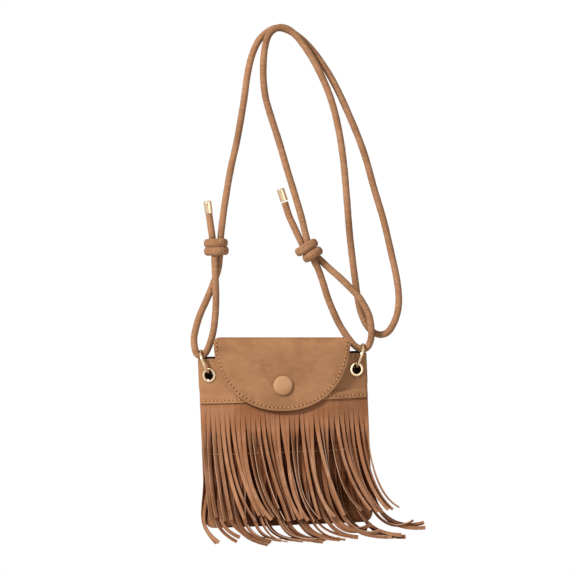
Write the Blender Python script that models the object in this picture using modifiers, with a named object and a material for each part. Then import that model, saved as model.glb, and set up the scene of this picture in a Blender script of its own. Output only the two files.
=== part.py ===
"""Fringed suede bag, hanging by its knotted cord strap.

Metres, +Z up, +X to the bag's left as worn, -Y the fringed front.
The origin is the point on which the strap hangs: the underside of its bend.
"""
import math
import random

import bpy
import bmesh
from mathutils import Matrix, Vector

MM = 0.001

# Fit between neighbouring pieces
GAP = 0.3 * MM
HEADER_GAP = 0.75 * MM

# Sheet thicknesses
SUEDE = 1.3 * MM
FRINGE_SUEDE = 1.1 * MM
LINING = 0.6 * MM

# Pouch
HALF_WIDTH = 95 * MM
HEIGHT = 192 * MM
CORNER_RADIUS = 10 * MM
SEAM_GAP_HALF = 0.15 * MM
MOUTH_FULLNESS = 0.75
FULL_DEPTH = 5.0 * MM
FULL_HALF_WIDTH = 0.505 * HALF_WIDTH
WING_HALF_WIDTH = 0.77 * HALF_WIDTH
FULL_TO_Z = -0.77 * HEIGHT
FLAT_FROM_Z = -0.953 * HEIGHT
WING_BEND_FROM = 0.63 * HALF_WIDTH
WING_BEND_TO = 0.76 * HALF_WIDTH
WING_ANGLE = math.radians(20)
WING_SHARE_AT_BOTTOM = 0.45

# How the pouch hangs
MOUTH_CENTRE = Vector((2.4 * MM, 0, -369.8 * MM))
BAG_TILT = math.radians(2.3)

# Front band
BAND_HEIGHT = 51 * MM
BAND_LAP = 6 * MM
BAND_SWELL = 5 * MM

# Fringe
STRAND_COUNT = 34
STRAND_PITCH = 5.4 * MM
STRAND_WIDTH = 4.9 * MM
STRAND_SEGMENTS = 5
STRAND_TWIST = math.radians(34)
UPPER_HEADER_BOTTOM = -65 * MM
UPPER_LENGTH = 123 * MM
LOWER_HEADER_TOP = -90 * MM
LOWER_HEADER_BOTTOM = -101 * MM
LOWER_LENGTH = 121 * MM
LOWER_STAND_OFF = 5.5 * MM
UPPER_STAND_OFF = 10.9 * MM
FORWARD_HALF_WIDTH = 1.04 * FULL_HALF_WIDTH
FRINGE_SEED = 7

# Flap
FLAP_CENTRE_X = 2.3 * MM
CREST_Z = -348.4 * MM
FLAP_DROP = 84 * MM
FLAP_HALF_WIDTH = 0.816 * HALF_WIDTH
CREST_HALF_WIDTH = 0.742 * HALF_WIDTH
ROOT_HALF_WIDTH = CREST_HALF_WIDTH - 1 * MM
CHAMFER_RUN = 8 * MM
FOLD_RADIUS = 10.5 * MM
FLAP_ROUNDNESS = 2.15
FLAP_SIDE_CURL = 5 * MM
FLAP_COLUMNS = 10
ROOT_LAP = 20 * MM
LINING_INSET = 2.5 * MM
LINING_START = 4 * MM

# Snap
SNAP_X = 3.6 * MM
SNAP_Z = -402.7 * MM
CAP_RADIUS = 11.3 * MM
CAP_HEIGHT = 3.4 * MM
SNAP_RADIUS = 6.2 * MM
STUD_PLATE = 0.6 * MM
STUD_BOSS_RADIUS = 3.0 * MM
STUD_BOSS_HEIGHT = 1.5 * MM
SOCKET_HEIGHT = 1.7 * MM
SOCKET_CLEARANCE = 0.45 * MM

# Eyelets and rings
EYELET_INSET = 12.5 * MM
EYELET_X = HALF_WIDTH - EYELET_INSET
EYELET_Z = -18.6 * MM
EYELET_HOLE_RADIUS = 5.3 * MM
EYELET_BARREL_WALL = 0.7 * MM
EYELET_FLANGE_RADIUS = 8.1 * MM
EYELET_FLANGE_HEIGHT = 1.2 * MM
WASHER_RADIUS = 7.6 * MM
WASHER_THICKNESS = 0.8 * MM
LIP_HEIGHT = 0.9 * MM
LIP_OVERHANG = 1.4 * MM
RING_RADIUS = 13.75 * MM
RING_WIRE_RADIUS = 1.5 * MM
RING_LIFT = 2.0 * MM
RING_LEAN = {"left": math.radians(22), "right": math.radians(18)}
RING_YAW = {"left": math.radians(8), "right": math.radians(6)}

# Strap cord
CORD_RADIUS = 3.7 * MM
TIP_RADIUS = 4.4 * MM
TIP_LENGTH = 14.5 * MM
KNOT_RADIUS = 13.6 * MM
KNOT_HEIGHT = 20 * MM
KNOT_DEPTH_SHARE = 0.95
KNOT_END_RADIUS = 9 * MM
KNOT_CENTRES = {"left": (-72.8, 0, -245.5), "right": (33.6, 0, -249.6)}
KNOT_AXES = {"left": (-0.06, 0, 1), "right": (-0.33, 0, 1)}

# Strap route in millimetres, chosen by hand
STRAP_ROUTE = [
    (-67.4, 2.5, -234.0), (-66.2, 3.0, -222.0), (-63.0, 3.6, -197.3), (-56.4, 4.1, -158.1),
    (-48.9, 4.1, -124.0), (-41.9, 4.1, -84.0), (-34.6, 4.1, -37.0), (-24.5, 4.1, -10.9),
    (-11.0, 4.1, 1.5), (1.0, 4.1, 3.7), (14.0, 4.1, -1.4), (28.5, 3.9, -12.5),
    (43.0, 4.4, -29.5), (60.0, 5.0, -56.0), (79.5, 6.0, -97.0), (95.7, 7.5, -138.1),
    (107.9, 9.5, -180.8), (118.2, 11.0, -215.0), (127.4, 12.5, -254.0), (133.4, 13.5, -282.0),
    (135.8, 14.5, -304.0), (134.4, 15.0, -320.0), (129.2, 15.5, -334.5), (122.3, 15.5, -343.5),
    (114.2, 15.5, -345.8), (106.0, 15.5, -342.5), (98.5, 15.5, -334.0), (93.0, 14.0, -322.0),
    (89.6, 12.0, -308.3), (86.8, 9.5, -290.9), (82.4, 4.5, -258.0), (78.9, 0.5, -227.1),
    (76.1, -2.0, -192.3), (72.1, -3.2, -148.0), (66.1, -4.0, -109.5), (56.8, -4.1, -74.5),
    (41.0, -4.1, -39.0), (24.0, -4.1, -12.5), (11.0, -4.1, 0.5), (-1.0, -4.1, 3.7),
    (-12.0, -4.1, -3.5), (-17.0, -4.1, -18.5), (-18.9, -4.1, -38.0), (-18.5, -4.1, -59.7),
    (-15.3, -4.1, -80.5), (-0.1, -4.0, -129.4), (8.2, -3.2, -158.1), (15.9, -2.8, -183.0),
    (24.7, -2.2, -213.0), (31.0, -1.8, -238.6),
]
LOOP_LEFT_ROUTE = [
    (-74.2, -4.1, -256.2), (-73.9, -3.4, -268.0), (-73.3, -0.5, -286.1), (-73.0, 5.0, -310.0),
    (-75.4, 7.0, -338.0), (-79.0, 7.2, -353.0), (-82.3, 7.0, -361.6), (-85.8, 6.8, -367.6),
    (-90.3, 6.6, -369.8), (-94.8, 6.8, -367.4), (-97.4, 7.6, -359.8), (-97.9, 8.6, -348.0),
    (-92.4, 9.5, -326.0),
    (-81.9, 9.0, -301.8), (-74.9, 7.6, -284.0), (-70.2, 5.4, -270.0), (-68.6, 3.9, -256.2),
]
LOOP_RIGHT_ROUTE = [
    (35.8, -3.0, -260.6), (41.2, -1.0, -268.5), (48.0, 1.5, -283.3), (55.2, 5.0, -305.7),
    (65.1, 7.6, -328.8), (71.3, 7.9, -340.0), (78.0, 7.6, -349.8), (85.0, 6.8, -358.0),
    (91.2, 6.3, -361.5), (96.6, 6.0, -361.8), (101.2, 5.6, -357.5), (103.9, 5.2, -349.0),
    (104.0, 5.0, -338.5),
    (101.6, 3.6, -324.5), (96.1, 1.8, -312.5), (89.2, 0.2, -302.0), (79.9, -0.5, -292.2),
    (68.3, -0.3, -280.8), (55.5, 0.8, -269.5), (46.2, 2.0, -258.6),
]
TAIL_LEFT_ROUTE = [(-76.9, -2.0, -235.0), (-78.8, -2.0, -222.0), (-80.7, -2.0, -208.0)]
TAIL_RIGHT_ROUTE = [
    (24.6, 2.5, -241.0), (16.6, 2.4, -224.8), (9.4, 2.2, -210.4), (5.6, 2.2, -193.3),
]

# Colours and finishes: linear colour, roughness, metallic
FINISHES = {
    "tan_suede": ((0.41, 0.21, 0.10), 0.95, 0.0),
    "tan_suede_flap": ((0.44, 0.23, 0.11), 0.95, 0.0),
    "tan_suede_fringe": ((0.36, 0.17, 0.08), 0.95, 0.0),
    "cord_suede": ((0.40, 0.20, 0.10), 0.9, 0.0),
    "dark_lining": ((0.02, 0.014, 0.012), 0.9, 0.0),
    "pale_gold": ((0.86, 0.66, 0.38), 0.22, 1.0),
}


def clear_scene():
    """Remove whatever the opened file holds."""
    for obj in list(bpy.data.objects):
        bpy.data.objects.remove(obj, do_unlink=True)


def make_collection(name):
    """A new collection linked to the scene."""
    collection = bpy.data.collections.new(name)
    bpy.context.scene.collection.children.link(collection)
    return collection


def finish_material(name, finish):
    """A Principled material of its own for one piece."""
    colour, roughness, metallic = FINISHES[finish]
    material = bpy.data.materials.new(name)
    material.use_nodes = True
    shader = material.node_tree.nodes["Principled BSDF"]
    shader.inputs["Base Color"].default_value = (*colour, 1)
    shader.inputs["Roughness"].default_value = roughness
    shader.inputs["Metallic"].default_value = metallic
    return material


def place_object(name, data, finish, parent=None):
    """Link a mesh or curve as one named piece of the bag."""
    obj = bpy.data.objects.new(name, data)
    bag_collection.objects.link(obj)
    obj.parent = parent
    data.materials.append(finish_material(name, finish))
    return obj


def smooth_step(value, start, end):
    """0 before start, 1 after end, smooth between."""
    t = min(max((value - start) / (end - start), 0), 1)
    return t * t * (3 - 2 * t)


# Pouch form, in the bag's own frame: x across, z down from the mouth

def middle_y(x, z):
    """Where the pouch's middle surface lies: flat, with side wings swept back."""
    beyond = abs(x) - WING_BEND_FROM
    if beyond <= 0:
        return 0.0
    bend = WING_BEND_TO - WING_BEND_FROM
    slope = math.tan(WING_ANGLE)
    back = slope * beyond * beyond / (2 * bend) if beyond < bend else slope * (beyond - bend / 2)
    down = min(max((-z - BAND_HEIGHT) / (HEIGHT - BAND_HEIGHT), 0), 1)
    return back * (1 - (1 - WING_SHARE_AT_BOTTOM) * down)


def void_half_depth(x, z):
    """Half the free depth between the two linings."""
    across = 1 - smooth_step(abs(x), FULL_HALF_WIDTH, WING_HALF_WIDTH)
    down = 1 - smooth_step(-z, -FULL_TO_Z, -FLAT_FROM_Z)
    mouth = MOUTH_FULLNESS + (1 - MOUTH_FULLNESS) * min(max(-z / BAND_HEIGHT, 0), 1)
    return SEAM_GAP_HALF + FULL_DEPTH * across * down * mouth


def void_surface(x, z, side):
    """A point of the inner lining face; side is -1 in front and +1 behind."""
    return Vector((x, middle_y(x, z) + side * void_half_depth(x, z), z))


def wall_point(x, z, side, distance):
    """A point at a distance outward from the inner lining face."""
    step = 0.5 * MM
    along_x = void_surface(x + step, z, side) - void_surface(x - step, z, side)
    along_z = void_surface(x, z + step, side) - void_surface(x, z - step, side)
    outward = along_x.cross(along_z).normalized()
    if outward.y * side < 0:
        outward.negate()
    return void_surface(x, z, side) + outward * distance


PANEL_INNER = LINING + GAP
PANEL_MIDDLE = PANEL_INNER + SUEDE / 2
PANEL_OUTER = PANEL_INNER + SUEDE
HEADER_MIDDLE = PANEL_OUTER + HEADER_GAP + FRINGE_SUEDE / 2
BAND_MIDDLE = PANEL_OUTER + GAP + SUEDE / 2
BAND_OUTER = BAND_MIDDLE + SUEDE / 2
BAND_RISE = FRINGE_SUEDE + HEADER_GAP
ROOT_MIDDLE = PANEL_OUTER + GAP + SUEDE / 2


def half_width_at(z):
    """Half width of the pouch outline with its rounded lower corners."""
    below = -z - (HEIGHT - CORNER_RADIUS)
    if below <= 0:
        return HALF_WIDTH
    reach = math.sqrt(max(CORNER_RADIUS ** 2 - below ** 2, 0))
    return HALF_WIDTH - CORNER_RADIUS + reach


def grid_mesh(name, rows, columns, place):
    """An open quad sheet; place(u, v) gives the point of column u and row v."""
    mesh = bpy.data.meshes.new(name)
    bm = bmesh.new()
    points = [[bm.verts.new(place(u, v)) for u in columns] for v in rows]
    for upper, lower in zip(points, points[1:]):
        for i in range(len(columns) - 1):
            bm.faces.new((upper[i], upper[i + 1], lower[i + 1], lower[i]))
    bmesh.ops.recalc_face_normals(bm, faces=bm.faces)
    bm.to_mesh(mesh)
    bm.free()
    mesh.shade_smooth()
    return mesh


def thicken(obj, thickness):
    """Give an open sheet its thickness, half to each side."""
    solidify = obj.modifiers.new("thickness", "SOLIDIFY")
    solidify.thickness = thickness
    solidify.offset = 0
    solidify.use_even_offset = True
    return solidify


def spread(count, low=-1.0, high=1.0):
    """count + 1 evenly spaced values from low to high."""
    return [low + (high - low) * i / count for i in range(count + 1)]


def wing_columns(reach=HALF_WIDTH):
    """Shares of the half width at which columns lie, closer where the wings bend."""
    bends = [0, WING_HALF_WIDTH / 3] + spread(4, FULL_HALF_WIDTH, WING_HALF_WIDTH)
    right = [x / reach for x in bends if x < reach] + [1.0]
    return [-u for u in reversed(right[1:])] + right


def wall_rows():
    """Rows down a full-height wall, closer at the mouth and the bottom."""
    curve = spread(3, FULL_TO_Z, FLAT_FROM_Z)
    corner = [-(HEIGHT - CORNER_RADIUS * (1 - math.sin(a))) for a in spread(3, 0, math.pi / 2)]
    return [0, -BAND_HEIGHT] + curve[:-1] + corner


def make_wall(name, side, distance, thickness, finish):
    """One full-height wall of the pouch, front or back."""
    def place(u, z):
        return wall_point(u * half_width_at(z), z, side, distance)

    obj = place_object(name, grid_mesh(name, wall_rows(), wing_columns(), place), finish, bag_frame)
    thicken(obj, thickness)
    return obj


def make_band():
    """The band sewn over the top of the front, its lower edge over the fringe header."""
    swell_from = BAND_HEIGHT - BAND_LAP - BAND_SWELL
    swell_to = BAND_HEIGHT - BAND_LAP

    def place(u, z):
        rise = BAND_RISE * smooth_step(-z, swell_from, swell_to - GAP)
        return wall_point(u * HALF_WIDTH, z, -1, BAND_MIDDLE + rise)

    rows = [-z for z in (0, 0.3 * BAND_HEIGHT, 0.6 * BAND_HEIGHT, swell_from)]
    rows += [-(swell_from + swell_to) / 2, -swell_to, -BAND_HEIGHT]
    mesh = grid_mesh("front_band", rows, wing_columns(), place)
    obj = place_object("front_band", mesh, "tan_suede", bag_frame)
    thicken(obj, SUEDE)
    return obj


# Fringe

def upper_sweep(u):
    """Angle from the vertical of an upper strand's end; u is -1 at the left."""
    return math.radians(6 + 28 * math.sin(0.62 * math.pi * (u + 1) / 2))


def lower_sweep(u):
    """Angle from the vertical of a lower strand's end, nearly flat at the right."""
    return math.radians(8 + 70 * ((u + 1) / 2) ** 2.2)


def strand_path(x0, z0, start, stand_off, length, sweep, forward):
    """Centre points, sweep angles and shares of one hanging strand.

    A strand keeps its most forward depth as it falls. With forward at 1, one that
    starts on the right wing comes out to the depth of the strands beside it.
    """
    fine = 4 * STRAND_SEGMENTS
    x, z = x0, z0
    y = wall_point(x0, z0, -1, start).y
    stations = []
    for i in range(fine + 1):
        t = i / fine
        angle = sweep * t
        if i % 4 == 0:
            stations.append((Vector((x, y, z)), angle, t))
        x += length / fine * math.sin(angle)
        z -= length / fine * math.cos(angle)
        off = start + (stand_off - start) * smooth_step(t, 0, 0.2)
        on_wall = wall_point(min(x, HALF_WIDTH), max(z, -HEIGHT), -1, off).y
        beside = wall_point(min(x, FORWARD_HALF_WIDTH), max(z, FULL_TO_Z), -1, off).y
        share = forward * smooth_step(t, 0.05, 0.4)
        y = min(y, on_wall + (beside - on_wall) * share)
    return stations


def make_fringe(name, header_top, header_bottom, length, stand_off, sweep_of, forward):
    """A suede strip: a solid header, and strands cut below it."""
    dice = random.Random(FRINGE_SEED)
    bm = bmesh.new()
    half = STRAND_WIDTH / 2
    header_rows = [header_top, header_bottom]
    edges = []
    for i in range(STRAND_COUNT):
        centre = (i - (STRAND_COUNT - 1) / 2) * STRAND_PITCH
        edges += [centre - half, centre + half]
    header = []
    for z in header_rows:
        header.append([bm.verts.new(wall_point(x, z, -1, HEADER_MIDDLE)) for x in edges])
    for upper, lower in zip(header, header[1:]):
        for i in range(len(edges) - 1):
            bm.faces.new((upper[i], lower[i], lower[i + 1], upper[i + 1]))
    for i in range(STRAND_COUNT):
        x0 = (edges[2 * i] + edges[2 * i + 1]) / 2
        u = 2 * i / (STRAND_COUNT - 1) - 1
        sweep = sweep_of(u) + math.radians(dice.uniform(-0.7, 0.7))
        run = length * dice.uniform(0.985, 1.015)
        twist_end = STRAND_TWIST * min(1, sweep / math.radians(25))
        left, right = header[-1][2 * i], header[-1][2 * i + 1]
        path = strand_path(x0, header_bottom, HEADER_MIDDLE, stand_off, run, sweep, forward)
        for point, angle, t in path[1:]:
            twist = twist_end * smooth_step(t, 0.05, 0.4)
            across = Vector((math.cos(angle), 0, math.sin(angle))) * math.cos(twist)
            across.y = -math.sin(twist)
            new_left = bm.verts.new(point - half * across)
            new_right = bm.verts.new(point + half * across)
            bm.faces.new((left, new_left, new_right, right))
            left, right = new_left, new_right
    bmesh.ops.recalc_face_normals(bm, faces=bm.faces)
    mesh = bpy.data.meshes.new(name)
    bm.to_mesh(mesh)
    bm.free()
    obj = place_object(name, mesh, "tan_suede_fringe", bag_frame)
    thicken(obj, FRINGE_SUEDE)
    return obj


# Flap, in the hanging frame: the crest is the fold's highest line

BAND_FACE_Y = wall_point(0, SNAP_Z - MOUTH_CENTRE.z, -1, BAND_OUTER).y
STUD_BACK_Y = BAND_FACE_Y - GAP
SOCKET_FACE_Y = STUD_BACK_Y - STUD_PLATE - GAP
SOCKET_BACK_Y = SOCKET_FACE_Y - SOCKET_HEIGHT
FLAP_MIDDLE_Y = SOCKET_BACK_Y - GAP - LINING - GAP - SUEDE / 2
CREST_Y = FLAP_MIDDLE_Y + FOLD_RADIUS
FOLD_ARC = FOLD_RADIUS * math.pi / 2
FLAP_RUN = FOLD_ARC + FLAP_DROP - FOLD_RADIUS


def flap_section(run):
    """Middle line of the flap from the crest: point and outward direction in y and z."""
    top = CREST_Z - SUEDE / 2
    if run < FOLD_ARC:
        angle = run / FOLD_RADIUS
        y = CREST_Y - GAP / 2 - FOLD_RADIUS * math.sin(angle)
        z = top - FOLD_RADIUS * (1 - math.cos(angle))
        return Vector((0, y, z)), Vector((0, -math.sin(angle), math.cos(angle)))
    y = CREST_Y - GAP / 2 - FOLD_RADIUS
    return Vector((0, y, top - FOLD_RADIUS - (run - FOLD_ARC))), Vector((0, -1, 0))


def flap_half_width(run):
    """Half width of the flap at a distance along it from the crest."""
    if run < CHAMFER_RUN:
        return CREST_HALF_WIDTH + (FLAP_HALF_WIDTH - CREST_HALF_WIDTH) * run / CHAMFER_RUN
    share = (run - CHAMFER_RUN) / (FLAP_RUN - CHAMFER_RUN)
    return FLAP_HALF_WIDTH * (1 - min(share, 1) ** FLAP_ROUNDNESS) ** (1 / FLAP_ROUNDNESS)


def flap_rows(first):
    """Distances along the flap at which its rows lie, close in the fold and near its lower edge."""
    fold = [first, first + 0.3 * MM]
    fold += [run for run in spread(6, 0, FOLD_ARC) if run > first + 0.5 * MM]
    power = 2 / FLAP_ROUNDNESS
    sweep = [math.radians(a) for a in (22, 33, 44, 54, 63, 71, 78)]
    return fold + [CHAMFER_RUN + (FLAP_RUN - CHAMFER_RUN) * math.sin(a) ** power for a in sweep]


def flap_point(u, run, depth, inset):
    """A point of the flap; depth is inward from its middle, inset in from its edge."""
    centre, outward = flap_section(run)
    x = u * (flap_half_width(run) - inset)
    point = centre - outward * depth
    curl = FLAP_SIDE_CURL * (x / FLAP_HALF_WIDTH) ** 4
    point.y += curl * smooth_step(run, CHAMFER_RUN, FLAP_RUN / 3)
    point.x = FLAP_CENTRE_X + x
    return point


def on_hinge(point):
    """A point of the hanging frame as seen from the flap's hinge."""
    return point - hinge_frame.location


def make_flap():
    """The free part of the flap, from the crest to its curved edge."""
    def place(u, run):
        return on_hinge(flap_point(u, run, 0, 0))

    obj = place_object("flap", grid_mesh("flap", flap_rows(0), spread(FLAP_COLUMNS), place),
                       "tan_suede_flap", hinge_frame)
    thicken(obj, SUEDE)
    return obj


def make_flap_lining():
    """The lining glued and stitched to the inside of the flap."""
    depth = SUEDE / 2 + GAP + LINING / 2

    def place(u, run):
        share = (run - LINING_START) / (FLAP_RUN - LINING_START)
        return on_hinge(flap_point(u, run - LINING_INSET * share, depth, LINING_INSET))

    mesh = grid_mesh("flap_lining", flap_rows(LINING_START), spread(FLAP_COLUMNS), place)
    obj = place_object("flap_lining", mesh, "dark_lining", hinge_frame)
    thicken(obj, LINING)
    return obj


def make_flap_root():
    """The flap's sewn part: up the back panel and over to the crest."""
    to_bag = bag_frame.matrix_world.inverted()

    def place(u, v):
        x = u * ROOT_HALF_WIDTH
        if v <= 0:
            return wall_point(x, v * ROOT_LAP, 1, ROOT_MIDDLE)
        low = wall_point(x, 0, 1, ROOT_MIDDLE)
        crest = Vector((FLAP_CENTRE_X + x, CREST_Y + GAP / 2, CREST_Z - SUEDE / 2))
        high = to_bag @ crest
        rise = (high.z - low.z) * 0.62
        reach = (low.y - high.y) * 0.62
        low_pull = low + Vector((0, 0, rise))
        high_pull = high + Vector((0, reach, 0))
        s = 1 - v
        return (low * s ** 3 + low_pull * 3 * s * s * v
                + high_pull * 3 * s * v * v + high * v ** 3)

    rows = [-1, -0.05, 0.15, 0.33, 0.5, 0.64, 0.76, 0.88, 0.985, 1]
    mesh = grid_mesh("flap_root", rows, wing_columns(ROOT_HALF_WIDTH), place)
    obj = place_object("flap_root", mesh, "tan_suede", bag_frame)
    thicken(obj, SUEDE)
    return obj


# Turned pieces

def turned(name, profile, finish, parent, steps=16):
    """A piece turned about its own Z from (radius, height) points, outer side downwards."""
    closed = profile[0][0] > 0 and profile[-1][0] > 0
    mesh = bpy.data.meshes.new(name)
    count = len(profile)
    links = [(i, i + 1) for i in range(count - 1)]
    if closed:
        links.append((count - 1, 0))
    mesh.from_pydata([(radius, 0, height) for radius, height in profile], links, [])
    obj = place_object(name, mesh, finish, parent)
    screw = obj.modifiers.new("turn", "SCREW")
    screw.steps = steps
    screw.render_steps = steps
    screw.use_merge_vertices = True
    screw.merge_threshold = 0.00001
    return obj


def point_along(obj, place, direction):
    """Put a turned piece at a place with its Z along a direction."""
    obj.location = place
    obj.rotation_euler = Vector(direction).to_track_quat("Z", "Y").to_euler()


def make_snap():
    """The covered cap, the socket under the flap and the stud on the band."""
    cap_base_y = FLAP_MIDDLE_Y - GAP / 2 - SUEDE / 2 - GAP
    rim = 0.9 * MM
    cap = [(0, CAP_HEIGHT), (0.45 * CAP_RADIUS, 0.94 * CAP_HEIGHT), (0.8 * CAP_RADIUS, 0.74 * CAP_HEIGHT),
           (0.96 * CAP_RADIUS, 0.42 * CAP_HEIGHT), (CAP_RADIUS, 0.16 * CAP_HEIGHT),
           (CAP_RADIUS - rim, 0), (0, 0)]
    obj = turned("snap_cap", cap, "tan_suede_flap", hinge_frame, 24)
    point_along(obj, on_hinge(Vector((SNAP_X, cap_base_y, SNAP_Z))), (0, -1, 0))

    bore = STUD_BOSS_RADIUS + SOCKET_CLEARANCE
    edge = 0.3 * MM
    socket = [(bore, SOCKET_HEIGHT), (SNAP_RADIUS - edge, SOCKET_HEIGHT), (SNAP_RADIUS, SOCKET_HEIGHT - edge),
              (SNAP_RADIUS, 0), (bore, 0)]
    obj = turned("snap_socket", socket, "pale_gold", hinge_frame)
    socket_back = Vector((SNAP_X, SOCKET_BACK_Y - GAP / 2, SNAP_Z))
    point_along(obj, on_hinge(socket_back), (0, 1, 0))

    boss_top = STUD_PLATE + STUD_BOSS_HEIGHT
    stud = [(0, boss_top), (STUD_BOSS_RADIUS - edge, boss_top), (STUD_BOSS_RADIUS, boss_top - edge),
            (STUD_BOSS_RADIUS, STUD_PLATE), (SNAP_RADIUS, STUD_PLATE), (SNAP_RADIUS, 0), (0, 0)]
    obj = turned("snap_stud", stud, "pale_gold", None)
    point_along(obj, Vector((SNAP_X, STUD_BACK_Y, SNAP_Z)), (0, -1, 0))


# Eyelets and rings

EYELET_BARREL_RADIUS = EYELET_HOLE_RADIUS + EYELET_BARREL_WALL
EYELET_FRONT = SEAM_GAP_HALF + BAND_OUTER + GAP
EYELET_BACK = -(SEAM_GAP_HALF + PANEL_OUTER + GAP)


def eyelet_seat(sign):
    """Centre of an eyelet in the pouch's middle surface, and its front direction."""
    x = sign * EYELET_X
    centre = Vector((x, middle_y(x, EYELET_Z), EYELET_Z))
    return centre, Vector((sign * math.sin(WING_ANGLE), -math.cos(WING_ANGLE), 0))


def make_eyelet(side, sign):
    """One eyelet: front flange, barrel and the lip rolled over its washer."""
    hole, barrel = EYELET_HOLE_RADIUS, EYELET_BARREL_RADIUS
    flange, front = EYELET_FLANGE_RADIUS, EYELET_FRONT
    top = front + EYELET_FLANGE_HEIGHT
    lip_top = EYELET_BACK - WASHER_THICKNESS - GAP
    lip_low = lip_top - LIP_HEIGHT
    lip = barrel + LIP_OVERHANG
    edge = 0.4 * MM
    profile = [(hole + edge, top), (flange - 2 * edge, top - edge / 4), (flange - edge / 2, top - edge),
               (flange, front + edge), (flange - edge / 4, front), (barrel, front), (barrel, lip_top),
               (lip - edge / 2, lip_top), (lip, (lip_top + lip_low) / 2), (lip - edge, lip_low),
               (hole + edge, lip_low), (hole, lip_low + edge), (hole, top - edge)]
    centre, facing = eyelet_seat(sign)
    point_along(turned("eyelet_" + side, profile, "pale_gold", bag_frame), centre, facing)

    inner = barrel + GAP
    washer_top = EYELET_BACK
    washer_low = EYELET_BACK - WASHER_THICKNESS
    washer = [(inner, washer_top), (WASHER_RADIUS, washer_top), (WASHER_RADIUS, washer_low),
              (inner, washer_low)]
    point_along(turned("eyelet_washer_" + side, washer, "pale_gold", bag_frame), centre, facing)


def cut_eyelet_holes(walls):
    """Pierce each wall where the eyelet barrels pass."""
    for side, sign in (("left", -1), ("right", 1)):
        centre, facing = eyelet_seat(sign)
        bpy.ops.mesh.primitive_cylinder_add(vertices=24, radius=EYELET_BARREL_RADIUS + GAP, depth=20 * MM)
        cutter = bpy.context.object
        cutter.name = "eyelet_cutter_" + side
        for collection in list(cutter.users_collection):
            collection.objects.unlink(cutter)
        cutter_collection.objects.link(cutter)
        cutter.parent = bag_frame
        point_along(cutter, centre, facing)
        cutter.hide_render = True
        cutter.display_type = "WIRE"
        for wall in walls:
            hole = wall.modifiers.new("eyelet_" + side, "BOOLEAN")
            hole.object = cutter
            hole.solver = "EXACT"


def ring_centre_and_axes(side, sign):
    """Centre, up direction and turning axis of one strap ring in the hanging frame."""
    seat, _ = eyelet_seat(sign)
    eyelet = bag_frame.matrix_world @ seat
    lean = RING_LEAN[side]
    up = Vector((sign * math.sin(lean), 0, math.cos(lean)))
    flat_axis = Vector((0, 1, 0)).cross(up)
    axis = Matrix.Rotation(sign * RING_YAW[side], 3, up) @ flat_axis
    return eyelet + up * (RING_LIFT + RING_RADIUS), up, axis


def make_ring(side, sign):
    """One closed round-wire ring through its eyelet and round the mouth's corner."""
    centre, up, axis = ring_centre_and_axes(side, sign)
    bpy.ops.mesh.primitive_torus_add(major_segments=24, minor_segments=8,
                                     major_radius=RING_RADIUS, minor_radius=RING_WIRE_RADIUS)
    ring = bpy.context.object
    ring.name = "ring_" + side
    for collection in list(ring.users_collection):
        collection.objects.unlink(ring)
    bag_collection.objects.link(ring)
    ring.data.materials.append(finish_material(ring.name, "pale_gold"))
    ring.data.shade_smooth()
    point_along(ring, centre, axis)


# Strap cord

def smooth_route(route):
    """Closely spaced points of a smooth curve through a route given in millimetres."""
    knots = [Vector(point) * MM for point in route]
    knots = [2 * knots[0] - knots[1]] + knots + [2 * knots[-1] - knots[-2]]
    fine = []
    for a, b, c, d in zip(knots, knots[1:], knots[2:], knots[3:]):
        tangent_b = (c - a) * (c - b).length / ((c - b).length + (b - a).length)
        tangent_c = (d - b) * (c - b).length / ((d - c).length + (c - b).length)
        for i in range(12):
            t = i / 12
            fine.append(b * (2 * t ** 3 - 3 * t ** 2 + 1) + tangent_b * (t ** 3 - 2 * t ** 2 + t)
                        + c * (3 * t ** 2 - 2 * t ** 3) + tangent_c * (t ** 3 - t ** 2))
    fine.append(knots[-2])
    return fine


def thin_out(fine, longest, turn):
    """Keep a point after each longest stretch or each turn of the path."""
    kept = [fine[0]]
    travelled, turned_by = 0.0, 0.0
    for before, here, after in zip(fine, fine[1:], fine[2:]):
        travelled += (here - before).length
        turned_by += (here - before).angle(after - here)
        if travelled >= longest or turned_by >= turn:
            kept.append(here)
            travelled, turned_by = 0.0, 0.0
    if travelled < CORD_RADIUS and len(kept) > 2:
        kept.pop()
    kept.append(fine[-1])
    return kept


def make_cord_run(name, route):
    """One stretch of the strap cord as a round tube."""
    points = thin_out(smooth_route(route), 30 * MM, math.radians(17))
    curve = bpy.data.curves.new(name, "CURVE")
    curve.dimensions = "3D"
    curve.bevel_depth = CORD_RADIUS
    curve.bevel_resolution = 2
    curve.use_fill_caps = True
    spline = curve.splines.new("POLY")
    spline.points.add(len(points) - 1)
    for slot, point in zip(spline.points, points):
        slot.co = (*point, 1)
    return place_object(name, curve, "cord_suede")


def make_knot(side):
    """The outer shape of one knot: two wraps pulled together."""
    high = KNOT_HEIGHT / 2
    waist = 0.88 * KNOT_RADIUS
    profile = [(0, high), (KNOT_END_RADIUS, high), (0.92 * KNOT_RADIUS, 0.78 * high),
               (KNOT_RADIUS, 0.5 * high), (0.96 * KNOT_RADIUS, 0.2 * high), (waist, 0),
               (0.96 * KNOT_RADIUS, -0.2 * high), (KNOT_RADIUS, -0.5 * high),
               (0.92 * KNOT_RADIUS, -0.78 * high), (KNOT_END_RADIUS, -high), (0, -high)]
    obj = turned("strap_knot_" + side, profile, "cord_suede", None, 20)
    axis = Vector(KNOT_AXES[side]).normalized()
    across = Vector((0, 1, 0)).cross(axis)
    turn = Matrix((across, Vector((0, 1, 0)), axis)).transposed()
    obj.location = Vector(KNOT_CENTRES[side]) * MM
    obj.rotation_euler = turn.to_euler()
    obj.scale = (1, KNOT_DEPTH_SHARE, 1)


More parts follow.
